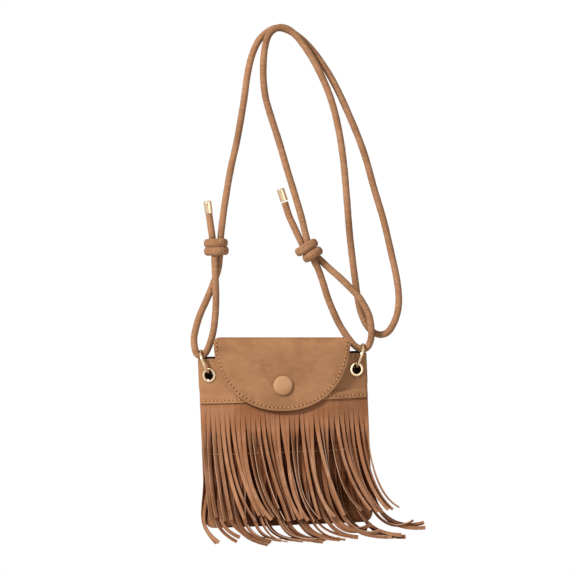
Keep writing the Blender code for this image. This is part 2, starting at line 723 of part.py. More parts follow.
def make_tip(side, route):
    """The metal tip at the end of one tail."""
    end = Vector(route[-1]) * MM
    along = (end - Vector(route[-2]) * MM).normalized()
    edge = 0.8 * MM
    profile = [(0, TIP_LENGTH), (TIP_RADIUS - 2 * edge, TIP_LENGTH - edge / 4),
               (TIP_RADIUS - edge / 2, TIP_LENGTH - edge), (TIP_RADIUS, TIP_LENGTH - 2 * edge),
               (TIP_RADIUS, edge / 2), (TIP_RADIUS - edge / 2, 0), (0, 0)]
    obj = turned("cord_tip_" + side, profile, "pale_gold", None)
    point_along(obj, end + along * GAP, along)


clear_scene()
bag_collection = make_collection("fringed_suede_bag")
cutter_collection = make_collection("cutters")

bag_frame = bpy.data.objects.new("bag_frame", None)
bag_collection.objects.link(bag_frame)
bag_frame.location = MOUTH_CENTRE
bag_frame.rotation_euler = (0, -BAG_TILT, 0)

hinge_frame = bpy.data.objects.new("flap_hinge_frame", None)
bag_collection.objects.link(hinge_frame)
hinge_frame.location = (FLAP_CENTRE_X, CREST_Y, CREST_Z)
bpy.context.view_layer.update()

pierced = [
    make_wall("front_panel", -1, PANEL_MIDDLE, SUEDE, "tan_suede"),
    make_wall("back_panel", 1, PANEL_MIDDLE, SUEDE, "tan_suede"),
    make_wall("front_lining", -1, LINING / 2, LINING, "dark_lining"),
    make_wall("back_lining", 1, LINING / 2, LINING, "dark_lining"),
    make_band(),
]
cut_eyelet_holes(pierced)

header_under_band = -(BAND_HEIGHT - BAND_LAP)
make_fringe("fringe_upper", header_under_band, UPPER_HEADER_BOTTOM, UPPER_LENGTH,
            UPPER_STAND_OFF, upper_sweep, 1)
make_fringe("fringe_lower", LOWER_HEADER_TOP, LOWER_HEADER_BOTTOM, LOWER_LENGTH,
            LOWER_STAND_OFF, lower_sweep, 0)

make_flap_root()
make_flap()
make_flap_lining()
make_snap()

for side, sign in (("left", -1), ("right", 1)):
    make_eyelet(side, sign)
    make_ring(side, sign)
    make_knot(side)

make_cord_run("strap_cord", STRAP_ROUTE)
make_cord_run("strap_loop_left", LOOP_LEFT_ROUTE)
make_cord_run("strap_loop_right", LOOP_RIGHT_ROUTE)
make_cord_run("strap_tail_left", TAIL_LEFT_ROUTE)
make_cord_run("strap_tail_right", TAIL_RIGHT_ROUTE)
make_tip("left", TAIL_LEFT_ROUTE)
make_tip("right", TAIL_RIGHT_ROUTE)
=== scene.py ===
"""Fringed suede bag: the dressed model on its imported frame, hung in a white studio."""

import math
import random

import bpy
import bmesh
from mathutils import Matrix, Vector
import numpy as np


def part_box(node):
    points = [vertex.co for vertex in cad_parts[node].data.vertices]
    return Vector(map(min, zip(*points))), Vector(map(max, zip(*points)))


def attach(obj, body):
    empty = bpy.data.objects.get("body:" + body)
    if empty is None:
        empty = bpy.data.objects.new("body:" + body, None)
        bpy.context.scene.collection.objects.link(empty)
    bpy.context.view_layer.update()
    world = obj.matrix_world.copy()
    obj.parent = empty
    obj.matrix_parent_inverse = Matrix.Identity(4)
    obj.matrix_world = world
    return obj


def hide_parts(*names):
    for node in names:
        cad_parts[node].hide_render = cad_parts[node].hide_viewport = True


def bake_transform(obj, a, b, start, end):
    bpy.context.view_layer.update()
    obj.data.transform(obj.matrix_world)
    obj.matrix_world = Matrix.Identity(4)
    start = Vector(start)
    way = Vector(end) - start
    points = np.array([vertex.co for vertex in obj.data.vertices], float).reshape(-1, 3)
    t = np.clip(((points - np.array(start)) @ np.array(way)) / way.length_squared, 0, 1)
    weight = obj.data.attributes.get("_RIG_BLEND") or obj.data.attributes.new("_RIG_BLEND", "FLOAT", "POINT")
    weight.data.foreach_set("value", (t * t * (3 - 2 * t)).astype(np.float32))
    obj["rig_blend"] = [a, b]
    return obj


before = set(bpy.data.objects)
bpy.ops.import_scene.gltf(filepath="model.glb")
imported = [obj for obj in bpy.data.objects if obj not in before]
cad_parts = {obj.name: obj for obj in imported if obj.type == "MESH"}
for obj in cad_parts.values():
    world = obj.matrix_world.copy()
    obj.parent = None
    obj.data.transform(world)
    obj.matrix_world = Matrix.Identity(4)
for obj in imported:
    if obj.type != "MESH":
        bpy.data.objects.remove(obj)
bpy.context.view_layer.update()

# The view. A product shot taken straight at the front through a long lens,
# with the whole strap and fringe in the frame.
MM = 0.001
PHOTO_WIDTH = 573
PIXEL = 1.1377 * MM
HANG_POINT_PIXEL = (280, 31)
VIEW_DISTANCE = 3.0

camera_data = bpy.data.cameras.new("front_camera")
camera_data.lens = camera_data.sensor_width * VIEW_DISTANCE / (PHOTO_WIDTH * PIXEL)
camera = bpy.data.objects.new("front_camera", camera_data)
bpy.context.scene.collection.objects.link(camera)
camera.location = ((PHOTO_WIDTH / 2 - HANG_POINT_PIXEL[0]) * PIXEL, -VIEW_DISTANCE,
                   -(PHOTO_WIDTH / 2 - HANG_POINT_PIXEL[1]) * PIXEL)
camera.rotation_euler = (math.radians(90), 0, 0)
bpy.context.scene.camera = camera


# Strap cord. One length of soft cord covered in suede, the cover's edges butted in a long
# seam. Each end passes through its ring, comes back up, wraps twice round itself and the
# standing part, and is tucked up through the wraps, so the knot slides and the strap adjusts.
CORD_RADIUS = 3.9 * MM
CORD_SIDES = 20
CORD_STEP = 1.6 * MM
KNOT_PRESS = 0.30
KNOT_REACH = 19 * MM
PRESS_HALF_HEIGHT = 7.5 * MM
PRESS_FADE = 4 * MM
# Where round a knot its lower wrap steps up to the upper one
STEP_UP_FROM, STEP_UP_TO = math.radians(300), math.radians(420)
# How far off a straight line the cord counts as fully bent, and where it stays creased; the bend deepens the creases
# and their painted shade
FULL_BEND = 0.75 * MM
CREASED_X, CREASED_Z, CREASED_BEND = (-22 * MM, -8 * MM), (-96 * MM, -8 * MM), 0.8
RIDGE_PITCH = 3.4 * MM
CREASE_PITCH = 2.6 * MM

TAIL_LEFT = [(-80.7, -2.0, -208.0), (-78.8, -2.0, -222.0), (-76.9, -2.0, -235.0)]
LOOP_LEFT = [
    (-74.2, -4.0, -257.5), (-73.9, -3.4, -268.0), (-73.3, -0.5, -286.1), (-73.0, 5.0, -310.0),
    (-75.4, 7.0, -338.0), (-79.0, 7.2, -353.0), (-82.3, 7.0, -361.6), (-85.8, 6.8, -367.6),
    (-90.3, 6.6, -369.8), (-94.8, 6.8, -367.4), (-97.4, 7.6, -359.8), (-97.9, 8.6, -348.0),
    (-92.4, 9.5, -326.0), (-81.9, 9.0, -301.8), (-74.9, 7.6, -284.0), (-70.2, 5.4, -270.0),
    (-68.6, 3.9, -256.2),
]
STRAP = [
    (-67.4, 2.5, -234.0), (-66.2, 3.0, -222.0), (-63.0, 3.6, -197.3), (-56.4, 4.1, -158.1),
    (-48.9, 4.1, -124.0), (-41.9, 4.1, -84.0), (-34.6, 4.1, -37.0), (-24.5, 4.1, -10.9),
    (-11.0, 4.1, 1.5), (1.0, 4.1, 3.7), (14.0, 4.1, -1.4), (28.5, 3.9, -12.5),
    (43.0, 4.4, -29.5), (60.0, 5.0, -56.0), (79.5, 6.0, -97.0), (95.7, 7.5, -138.1),
    (107.9, 9.5, -180.8), (118.2, 11.0, -215.0), (127.4, 12.5, -254.0), (133.4, 13.5, -282.0),
    (135.8, 14.5, -304.0), (134.4, 15.0, -320.0), (129.2, 15.5, -334.5), (122.3, 15.5, -343.5),
    (114.2, 15.5, -345.8), (106.0, 15.5, -342.5), (98.5, 15.5, -334.0), (93.0, 14.0, -322.0),
    (89.6, 12.0, -308.3), (86.8, 9.5, -290.9), (82.4, 4.5, -258.0), (78.9, 0.5, -227.1),
    (76.1, -2.0, -192.3), (72.1, -3.2, -148.0), (66.1, -4.0, -109.5), (56.8, -4.1, -74.5),
    (41.0, -4.1, -39.0), (24.0, -4.1, -12.5), (11.0, -4.1, 0.5), (-1.0, -4.1, 3.7),
    (-12.0, -4.1, -3.5), (-17.0, -4.1, -18.5), (-18.9, -4.1, -38.0), (-18.5, -4.1, -59.7),
    (-15.3, -4.1, -80.5), (-0.1, -4.0, -129.4), (8.2, -3.2, -158.1), (15.9, -2.8, -183.0),
    (24.7, -2.2, -213.0), (31.0, -1.8, -238.6),
]
LOOP_RIGHT = [
    (38.6, -3.0, -261.0), (43.0, -1.0, -269.6), (48.0, 1.5, -283.3), (55.2, 5.0, -305.7),
    (65.1, 7.6, -328.8), (71.3, 7.9, -340.0), (78.0, 7.6, -349.8), (85.0, 6.8, -358.0),
    (91.2, 6.3, -361.5), (96.6, 6.0, -361.8), (101.2, 5.6, -357.5), (103.9, 5.2, -349.0),
    (104.0, 5.0, -338.5), (101.6, 3.6, -324.5), (96.1, 1.8, -312.5), (89.2, 0.2, -302.0),
    (79.9, -0.5, -292.2), (68.3, -0.3, -280.8), (55.5, 0.8, -269.5),
]
TAIL_RIGHT = [(24.6, 2.5, -241.0), (17.0, 2.4, -225.0), (10.2, 2.2, -210.0), (4.9, 2.2, -193.4)]

# Each knot's centre, the slope of its wraps, for its lower and its upper wrap the height along
# its axis, the half width and the shift to the side, and its half depth
KNOTS = {
    "left": {"centre": (-72.8, 0.0, -245.8), "slope": 2.0,
             "wraps": ((-4.5, 10.3, 0.3), (4.5, 9.9, 0.0)), "depth": 9.6},
    "right": {"centre": (33.4, 0.0, -250.4), "slope": 31.0,
              "wraps": ((-5.2, 8.6, 1.2), (5.2, 10.4, -0.6)), "depth": 9.6},
}


def smooth_step(value, start, end):
    """0 before start, 1 after end, smooth between."""
    t = min(max((value - start) / (end - start), 0), 1)
    return t * t * (3 - 2 * t)


def knot_point(side, across, depth, height):
    """A point given in a knot's own frame: across its wraps, to the back, along its axis."""
    slope = math.radians(KNOTS[side]["slope"])
    x, y, z = KNOTS[side]["centre"]
    return (x + across * math.cos(slope) - height * math.sin(slope), y + depth,
            z + across * math.sin(slope) + height * math.cos(slope))


def knot_wraps(side):
    """The two wraps of a knot from the bottom up, each level in front and stepping at the back."""
    (low, low_half, low_shift), (high, high_half, high_shift) = KNOTS[side]["wraps"]
    turns = []
    for step in range(1, 24):
        angle = step * math.radians(30)
        rise = smooth_step(angle, STEP_UP_FROM, STEP_UP_TO)
        half = low_half + (high_half - low_half) * rise
        shift = low_shift + (high_shift - low_shift) * rise
        turns.append(knot_point(side, shift - half * math.sin(angle),
                                KNOTS[side]["depth"] * math.cos(angle), low + (high - low) * rise))
    return turns


def smooth_path(route):
    """Closely and evenly spaced points of a smooth curve through a route in millimetres."""
    knots = [Vector(point) * MM for point in route]
    knots = [2 * knots[0] - knots[1]] + knots + [2 * knots[-1] - knots[-2]]
    fine = []
    for a, b, c, d in zip(knots, knots[1:], knots[2:], knots[3:]):
        near, here, far = (b - a).length, (c - b).length, (d - c).length
        tangent_b = (c - a) * here / (here + near)
        tangent_c = (d - b) * here / (far + here)
        for i in range(16):
            t = i / 16
            fine.append(b * (2 * t ** 3 - 3 * t ** 2 + 1) + tangent_b * (t ** 3 - 2 * t ** 2 + t)
                        + c * (3 * t ** 2 - 2 * t ** 3) + tangent_c * (t ** 3 - t ** 2))
    fine.append(knots[-2])
    return fine


def even_path(fine, step):
    """The same path with a point at each step of its length."""
    path, left = [fine[0]], step
    for a, b in zip(fine, fine[1:]):
        reach = (b - a).length
        done = 0.0
        while reach - done >= left:
            done += left
            path.append(a.lerp(b, done / reach))
            left = step
        left -= reach - done
    return path


def cord_route():
    """The cord's line from the left tip to the right tip, in millimetres."""
    tuck_left = [knot_point("left", -3.9, 0.4, 6.0), knot_point("left", -4.2, 2.6, 0.5),
                 knot_point("left", -2.6, 6.0, -4.3)]
    drop_left = [knot_point("left", 1.8, 7.0, 4.6), knot_point("left", 1.4, 2.4, 3.0),
                 knot_point("left", 0.4, -2.2, -2.5)]
    rise_right = [knot_point("right", 3.4, 3.2, -7.0), knot_point("right", 1.4, 3.2, 0.0),
                  knot_point("right", 1.6, 6.4, 4.8)]
    tuck_right = [knot_point("right", -2.4, 6.0, -4.8), knot_point("right", -3.6, 3.2, 0.4)]
    return (TAIL_LEFT + tuck_left + knot_wraps("left") + drop_left + LOOP_LEFT + STRAP + LOOP_RIGHT
            + rise_right + knot_wraps("right")[::-1] + tuck_right + TAIL_RIGHT)


def knot_press(point, out):
    """How much wider the cord is in a direction where it is pulled tight round a knot."""
    for knot in KNOTS.values():
        slope = math.radians(knot["slope"])
        axis = Vector((-math.sin(slope), 0, math.cos(slope)))
        off = point - Vector(knot["centre"]) * MM
        height = off.dot(axis)
        if off.length < KNOT_REACH:
            near = 1 - min(max((abs(height) - PRESS_HALF_HEIGHT) / PRESS_FADE, 0), 1)
            return 1 + KNOT_PRESS * near * out.dot(axis) ** 2
    return 1.0


def link(name, mesh):
    """A named object for a mesh, linked to the scene."""
    obj = bpy.data.objects.new(name, mesh)
    bpy.context.scene.collection.objects.link(obj)
    return obj


def finished_mesh(name, bm, matrix=None):
    """A mesh from its working form, with its faces turned outward, moved by a matrix."""
    bmesh.ops.recalc_face_normals(bm, faces=bm.faces)
    if matrix:
        bm.transform(matrix)
    mesh = bpy.data.meshes.new(name)
    bm.to_mesh(mesh)
    bm.free()
    return mesh


def cord_mesh(name, path):
    """A round tube along a path, with its length and turn as UVs and its bend as an attribute."""
    dice = random.Random(5)
    sway = [dice.uniform(0, 6.28) for _ in range(2)]
    bm = bmesh.new()
    uv = bm.loops.layers.uv.new("cord")
    bend_layer = bm.verts.layers.float.new("bend")
    side = Vector((0, -1, 0))
    rings = []
    for i, point in enumerate(path):
        ahead = path[min(i + 1, len(path) - 1)] - path[max(i - 1, 0)]
        ahead.normalize()
        side = (side - ahead * side.dot(ahead)).normalized()
        other = ahead.cross(side)
        near, far = path[max(i - 3, 0)], path[min(i + 3, len(path) - 1)]
        curve = (near + far) / 2 - point
        bend = min(curve.length / FULL_BEND, 1)
        # The front strand is creased below the place it hangs from
        if CREASED_X[0] < point.x < CREASED_X[1] and CREASED_Z[0] < point.z < CREASED_Z[1]:
            bend = max(bend, CREASED_BEND)
        along = i * CORD_STEP
        ridge = 0.010 * math.sin(along * 2 * math.pi / RIDGE_PITCH + 2 * math.sin(along * 90))
        swell = (1 + ridge + 0.012 * math.sin(along * 210 + sway[0])
                 + 0.010 * math.sin(along * 530 + sway[1]))
        ring = []
        for k in range(CORD_SIDES):
            turn = 2 * math.pi * k / CORD_SIDES
            out = side * math.cos(turn) + other * math.sin(turn)
            crease = 0
            if bend > 0.25 and curve.length:
                inside = max(out.dot(curve.normalized()), 0)
                crease = 0.05 * inside * bend * math.sin(along * 2 * math.pi / CREASE_PITCH)
            vert = bm.verts.new(point + out * CORD_RADIUS * (swell + crease) * knot_press(point, out))
            vert[bend_layer] = bend
            ring.append(vert)
        rings.append(ring)
    for i, (a, b) in enumerate(zip(rings, rings[1:])):
        for k in range(CORD_SIDES):
            n = (k + 1) % CORD_SIDES
            face = bm.faces.new((a[k], a[n], b[n], b[k]))
            face.smooth = True
            corners = ((i, k), (i, k + 1), (i + 1, k + 1), (i + 1, k))
            for loop, (along, around) in zip(face.loops, corners):
                loop[uv].uv = (along * CORD_STEP, around / CORD_SIDES)
    bm.faces.new(rings[0])
    bm.faces.new(rings[-1][::-1])
    return finished_mesh(name, bm)


def new_group(name, inputs, outputs):
    """An empty shader node group with its sockets, and its input and output nodes."""
    group = bpy.data.node_groups.new(name, "ShaderNodeTree")
    for socket, kind, value in inputs:
        made = group.interface.new_socket(socket, in_out="INPUT", socket_type=kind)
        made.default_value = value
    for socket, kind in outputs:
        group.interface.new_socket(socket, in_out="OUTPUT", socket_type=kind)
    return group, group.nodes.new("NodeGroupInput"), group.nodes.new("NodeGroupOutput")


def set_sockets(tree, node, sockets):
    """Link or set a node's inputs, each given by its name or, after an i, by its number."""
    for key, value in sockets.items():
        socket = node.inputs[int(key[1:])] if key[0] == "i" and key[1:].isdigit() else node.inputs[key]
        if isinstance(value, bpy.types.NodeSocket):
            tree.links.new(value, socket)
        else:
            socket.default_value = value


def add_node(tree, kind, settings=None, **sockets):
    """A node with its settings and its linked or plain inputs."""
    node = tree.nodes.new(kind)
    for key, value in (settings or {}).items():
        setattr(node, key, value)
    set_sockets(tree, node, sockets)
    return node


def find_node(tree, kind):
    """The first node of a kind in a tree."""
    return next(node for node in tree.nodes if node.type == kind)


def mix_colour(tree, factor, first, second):
    """Two colours mixed by a factor."""
    return add_node(tree, "ShaderNodeMix", {"data_type": "RGBA"}, i0=factor, i6=first, i7=second).outputs[2]


def ramp(tree, value, low, high):
    """A value stretched so that low gives 0 and high gives 1."""
    node = add_node(tree, "ShaderNodeMapRange", {"interpolation_type": "SMOOTHSTEP"},
                    Value=value, i1=low, i2=high)
    return node.outputs[0]


def calc(tree, operation, first, second):
    """One sum of two values."""
    return add_node(tree, "ShaderNodeMath", {"operation": operation}, i0=first, i1=second).outputs[0]


def times(tree, first, second):
    """Two values multiplied."""
    return calc(tree, "MULTIPLY", first, second)


def plus(tree, first, second):
    """Two values added."""
    return calc(tree, "ADD", first, second)


def less(tree, first, second):
    """The second value taken from the first."""
    return calc(tree, "SUBTRACT", first, second)


def make_suede_nap():
    """Suede's brushed nap: soft cloudy patches, brushed streaks and fine short fibres."""
    group, given, out = new_group(
        "suede_nap",
        [("Colour", "NodeSocketColor", (0.5, 0.25, 0.12, 1)),
         ("Dark Colour", "NodeSocketColor", (0.3, 0.14, 0.06, 1)),
         ("Mottle", "NodeSocketFloat", 0.5), ("Streak", "NodeSocketFloat", 0.3),
         ("Brush", "NodeSocketVector", (1.0, 1.0, 3.2))],
        [("Colour", "NodeSocketColor"), ("Height", "NodeSocketFloat"), ("Roughness", "NodeSocketFloat")])
    place = add_node(group, "ShaderNodeTexCoord").outputs["Object"]
    cloud = add_node(group, "ShaderNodeTexNoise", Vector=place, Scale=34.0, Detail=4.0, Roughness=0.58)
    brushed = add_node(group, "ShaderNodeMapping", Vector=place, Scale=given.outputs["Brush"])
    streak = add_node(group, "ShaderNodeTexNoise", Vector=brushed.outputs[0], Scale=95.0, Detail=5.0,
                      Roughness=0.62)
    fibre = add_node(group, "ShaderNodeTexNoise", Vector=place, Scale=1500.0, Detail=3.0, Roughness=0.7)
    grain = add_node(group, "ShaderNodeTexNoise", Vector=place, Scale=520.0, Detail=2.0, Roughness=0.6)
    patches = times(group, ramp(group, cloud.outputs["Fac"], 0.38, 0.64), given.outputs["Mottle"])
    streaks = times(group, ramp(group, streak.outputs["Fac"], 0.35, 0.68), given.outputs["Streak"])
    colour = mix_colour(group, patches, given.outputs["Colour"], given.outputs["Dark Colour"])
    colour = mix_colour(group, streaks, colour, given.outputs["Dark Colour"])
    specks = times(group, ramp(group, fibre.outputs["Fac"], 0.40, 0.72), 0.22)
    colour = mix_colour(group, specks, colour, given.outputs["Dark Colour"])
    height = plus(group, fibre.outputs["Fac"], times(group, grain.outputs["Fac"], 1.4))
    rough = plus(group, times(group, grain.outputs["Fac"], 0.12), 0.84)
    set_sockets(group, out, {"Colour": colour, "Height": height, "Roughness": rough})
    return group


SUEDE_NAP = make_suede_nap()
SUEDE_LIGHT = (0.450, 0.227, 0.107, 1)
SUEDE_DARK = (0.290, 0.130, 0.057, 1)
SUEDE_SHEEN = (0.95, 0.72, 0.52, 1)
# The colour of painted shade, where other pieces close the suede in
CREVICE_SHADE = (0.085, 0.016, 0.003, 1)
CORD_LIGHT = (0.480, 0.252, 0.134, 1)
# Darker colour for the cord's seam and tone changes, and painted shade in its creases
CORD_TONE_AND_SHADE = (0.17, 0.075, 0.033, 1)
CREASES_PER_METRE = 560.0
TONES_PER_METRE = 15.0
SEAM_TURN = 0.30


def tint_suede(material, factor, second):
    """Lay a second colour over a suede material's own, before its painted shade darkens it where pieces close it in.
    """
    tree = material.node_tree
    nap, deep = find_node(tree, "GROUP"), find_node(tree, "MIX")
    tree.links.new(mix_colour(tree, factor, nap.outputs["Colour"], second), deep.inputs[6])


def new_material(name):
    """A new material with its node tree and its shader."""
    material = bpy.data.materials.new(name)
    material.use_nodes = True
    return material, material.node_tree, material.node_tree.nodes["Principled BSDF"]


def suede_material(name, light, dark, mottle, streak, height=0.00012, sheen=0.06, crevice=0.55,
                   reach=0.006, gloss=0.15, brush=(1.0, 1.0, 3.2)):
    """A suede finish: the nap on a soft, fuzzy surface, with painted shade darkening it where other pieces close it
    in.
    """
    material, tree, shader = new_material(name)
    nap = add_node(tree, "ShaderNodeGroup", {"node_tree": SUEDE_NAP}, **{
        "Colour": light, "Dark Colour": dark, "Mottle": mottle, "Streak": streak, "Brush": brush})
    bump = add_node(tree, "ShaderNodeBump", Strength=0.8, Distance=height, Height=nap.outputs["Height"])
    # Painted shade: ambient occlusion darkens the colour where other pieces are near
    near = add_node(tree, "ShaderNodeAmbientOcclusion", {"samples": 8}, Distance=reach)
    closed = times(tree, less(tree, 1.0, near.outputs["AO"]), crevice)
    set_sockets(tree, shader, {
        "Base Color": mix_colour(tree, closed, nap.outputs["Colour"], CREVICE_SHADE),
        "Roughness": nap.outputs["Roughness"], "Normal": bump.outputs[0], "Specular IOR Level": gloss,
        "Sheen Weight": sheen, "Sheen Roughness": 0.45, "Sheen Tint": SUEDE_SHEEN})
    return material


def cord_material():
    """The cord's cover: fine suede with one dark seam, creases at the bends darkened with painted shade, and slow
    changes of tone.
    """
    material = suede_material("cord_suede", CORD_LIGHT, SUEDE_DARK, 0.40, 0.45, crevice=0.2, reach=0.004)
    tree = material.node_tree
    nap, bump = find_node(tree, "GROUP"), find_node(tree, "BUMP")
    uv = add_node(tree, "ShaderNodeUVMap", {"uv_map": "cord"}).outputs[0]
    around = add_node(tree, "ShaderNodeSeparateXYZ", Vector=uv).outputs["Y"]
    bend = add_node(tree, "ShaderNodeAttribute", {"attribute_name": "bend"}).outputs["Fac"]
    crease_place = add_node(tree, "ShaderNodeMapping", Vector=uv, Scale=(CREASES_PER_METRE, 1.2, 1.0))
    crease = add_node(tree, "ShaderNodeTexNoise", Vector=crease_place.outputs[0], Scale=1.0, Detail=2.0)
    raised = ramp(tree, crease.outputs["Fac"], 0.35, 0.65)
    fold = times(tree, raised, plus(tree, times(tree, bend, 1.1), 0.25))
    off_seam = calc(tree, "ABSOLUTE", less(tree, around, SEAM_TURN), 0)
    seam = less(tree, 1.0, ramp(tree, off_seam, 0.004, 0.016))
    height = less(tree, nap.outputs["Height"], times(tree, seam, 2.4))
    height = plus(tree, height, times(tree, fold, 2.2))
    tree.links.new(height, bump.inputs["Height"])
    # The seam and the slow changes of tone are the cover's own colour; the darker low parts of the creases, more at
    # the bends, are painted shade
    shade = plus(tree, times(tree, seam, 0.6),
                 times(tree, less(tree, 1.0, raised), plus(tree, times(tree, bend, 0.14), 0.16)))
    tone_place = add_node(tree, "ShaderNodeMapping", Vector=uv, Scale=(TONES_PER_METRE, 0.0, 1.0))
    tone = add_node(tree, "ShaderNodeTexNoise", Vector=tone_place.outputs[0], Scale=1.0, Detail=1.0)
    shade = plus(tree, shade, times(tree, ramp(tree, tone.outputs["Fac"], 0.52, 0.68), 0.30))
    tint_suede(material, shade, CORD_TONE_AND_SHADE)
    return material


cord_path = even_path(smooth_path(cord_route()), CORD_STEP)
cord = link("strap_cord_cover", cord_mesh("strap_cord_cover", cord_path))
cord.data.materials.append(cord_material())
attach(cord, "bag")
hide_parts("strap_cord", "strap_loop_left", "strap_loop_right", "strap_knot_left",
            "strap_knot_right", "strap_tail_left", "strap_tail_right")


# Cord tips. A drawn metal sleeve with a crowned end, plated pale gold, pushed over each end
# of the cord and crimped by one small dent, drawn as a near-black cap of painted shade.
TIP_RADIUS = 4.4 * MM
TIP_LENGTH = 14.5 * MM
TIP_WALL = 0.45 * MM
TIP_MOUTH_DEPTH = 2.4 * MM
FIT_GAP = 0.3 * MM
GOLD = (0.76, 0.57, 0.37, 1)
GOLD_WORN = (0.48, 0.33, 0.17, 1)
# The colour of painted shade on the gold where other pieces close it in
GOLD_SHADE = (0.10, 0.060, 0.028, 1)
GOLD_EDGE = (0.22, 0.13, 0.06, 1)


def make_plate_wear():
    """Plated metal: slow tone changes, fine rubbing marks and a few dull spots."""
    group, given, out = new_group(
        "plate_wear",
        [("Colour", "NodeSocketColor", GOLD), ("Worn Colour", "NodeSocketColor", GOLD_WORN),
         ("Polish", "NodeSocketFloat", 0.14)],
        [("Colour", "NodeSocketColor"), ("Roughness", "NodeSocketFloat"), ("Height", "NodeSocketFloat")])
    place = add_node(group, "ShaderNodeTexCoord").outputs["Object"]
    tone = add_node(group, "ShaderNodeTexNoise", Vector=place, Scale=160.0, Detail=3.0)
    rub = add_node(group, "ShaderNodeTexNoise", Vector=place, Scale=900.0, Detail=4.0, Roughness=0.7)
    worn = times(group, ramp(group, tone.outputs["Fac"], 0.52, 0.75), 0.45)
    colour = mix_colour(group, worn, given.outputs["Colour"], given.outputs["Worn Colour"])
    rough = plus(group, given.outputs["Polish"],
                 times(group, ramp(group, rub.outputs["Fac"], 0.45, 0.75), 0.16))
    set_sockets(group, out, {"Colour": colour, "Roughness": rough, "Height": rub.outputs["Fac"]})
    return group


PLATE_WEAR = make_plate_wear()


def gold_material(name, polish):
    """Pale gold plate on metal, with painted shade making it dull and brown where pieces close it in."""
    material, tree, shader = new_material(name)
    plate = add_node(tree, "ShaderNodeGroup", {"node_tree": PLATE_WEAR}, Polish=polish)
    bump = add_node(tree, "ShaderNodeBump", Strength=0.25, Distance=0.00003, Height=plate.outputs["Height"])
    near = add_node(tree, "ShaderNodeAmbientOcclusion", {"samples": 8}, Distance=0.004).outputs["AO"]
    # Painted shade: ambient occlusion turns the gold dark brown near other pieces
    gold_shade_share = times(tree, ramp(tree, less(tree, 1.0, near), 0.05, 0.55), 0.85)
    set_sockets(tree, shader, {
        "Base Color": mix_colour(tree, gold_shade_share, plate.outputs["Colour"], GOLD_SHADE),
        "Roughness": plate.outputs["Roughness"], "Normal": bump.outputs[0], "Metallic": 1.0,
        "Specular Tint": GOLD_EDGE})
    return material


def turned_mesh(name, profile, steps, closed):
    """A piece turned about its own Z from (radius, height) points."""
    bm = bmesh.new()
    rings = []
    for radius, height in profile:
        if radius == 0:
            rings.append([bm.verts.new((0, 0, height))])
            continue
        turns = (2 * math.pi * k / steps for k in range(steps))
        rings.append([bm.verts.new((radius * math.cos(t), radius * math.sin(t), height)) for t in turns])
    pairs = list(zip(rings, rings[1:])) + ([(rings[-1], rings[0])] if closed else [])
    for a, b in pairs:
        for k in range(steps):
            n = (k + 1) % steps
            corners = [a[k % len(a)], a[n % len(a)], b[n % len(b)], b[k % len(b)]]
            unique = [c for i, c in enumerate(corners) if c not in corners[:i]]
            if len(unique) > 2:
                bm.faces.new(unique)
    for face in bm.faces:
        face.smooth = True
    return finished_mesh(name, bm)


def facing(place, direction):
    """The matrix that puts a piece at a place with its Z along a direction."""
    turn = Vector(direction).to_track_quat("Z", "Y").to_matrix().to_4x4()
    return Matrix.Translation(place) @ turn


def rounded(points, radius, parts=4):
    """A profile with each inner corner rounded off."""
    smooth = [points[0]]
    for before, corner, after in zip(points, points[1:], points[2:]):
        a, b, c = Vector(before), Vector(corner), Vector(after)
        reach = min(radius, (a - b).length * 0.45, (c - b).length * 0.45)
        start, end = b + (a - b).normalized() * reach, b + (c - b).normalized() * reach
        for i in range(parts + 1):
            t = i / parts
            smooth.append(tuple(start * (1 - t) ** 2 + b * 2 * t * (1 - t) + end * t * t))
    return smooth + [points[-1]]


gold_tip = gold_material("gold_tip", 0.16)
dent_shade = suede_material("dent_shade_finish", (0.02, 0.012, 0.008, 1), (0.01, 0.006, 0.004, 1), 0.2, 0.1)


def make_tip(side, mouth, before):
    """One sleeve and its crimp dent, pushed over the cord's end from the point before it."""
    along = (mouth - before).normalized()
    inner = TIP_RADIUS - TIP_WALL
    sleeve = rounded([(0, TIP_LENGTH), (TIP_RADIUS * 0.72, TIP_LENGTH - 0.1 * MM),
                      (TIP_RADIUS, TIP_LENGTH - 1.0 * MM), (TIP_RADIUS, 0), (inner, 0),
                      (inner, TIP_MOUTH_DEPTH), (0, TIP_MOUTH_DEPTH)], 0.5 * MM)
    tip = link("cord_tip_sleeve_" + side, turned_mesh("cord_tip_sleeve_" + side, sleeve, 48, False))
    tip.data.materials.append(gold_tip)
    tip.matrix_world = facing(mouth + along * FIT_GAP, along)
    # The crimp dent is a small near-black cap: painted shade in the dent
    hollow = rounded([(0, 0.06 * MM), (0.5 * MM, 0.05 * MM), (0.62 * MM, -0.25 * MM), (0, -0.3 * MM)], 0.1 * MM)
    dent = link("cord_tip_dent_" + side, turned_mesh("cord_tip_dent_" + side, hollow, 16, False))
    dent.data.materials.append(dent_shade)
    forward = (Vector((0, -1, 0)) - along * along.dot(Vector((0, -1, 0)))).normalized()
    crimp = mouth + along * (TIP_LENGTH * 0.72) + forward * (TIP_RADIUS - 0.02 * MM)
    dent.matrix_world = facing(crimp, forward)
    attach(tip, "bag")
    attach(dent, "bag")
    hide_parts("cord_tip_" + side)
    return [tip, dent]


left_mouth, right_mouth = Vector(TAIL_LEFT[0]) * MM, Vector(TAIL_RIGHT[-1]) * MM
tips = make_tip("left", left_mouth, Vector(TAIL_LEFT[1]) * MM)
tips += make_tip("right", right_mouth, Vector(TAIL_RIGHT[-2]) * MM)


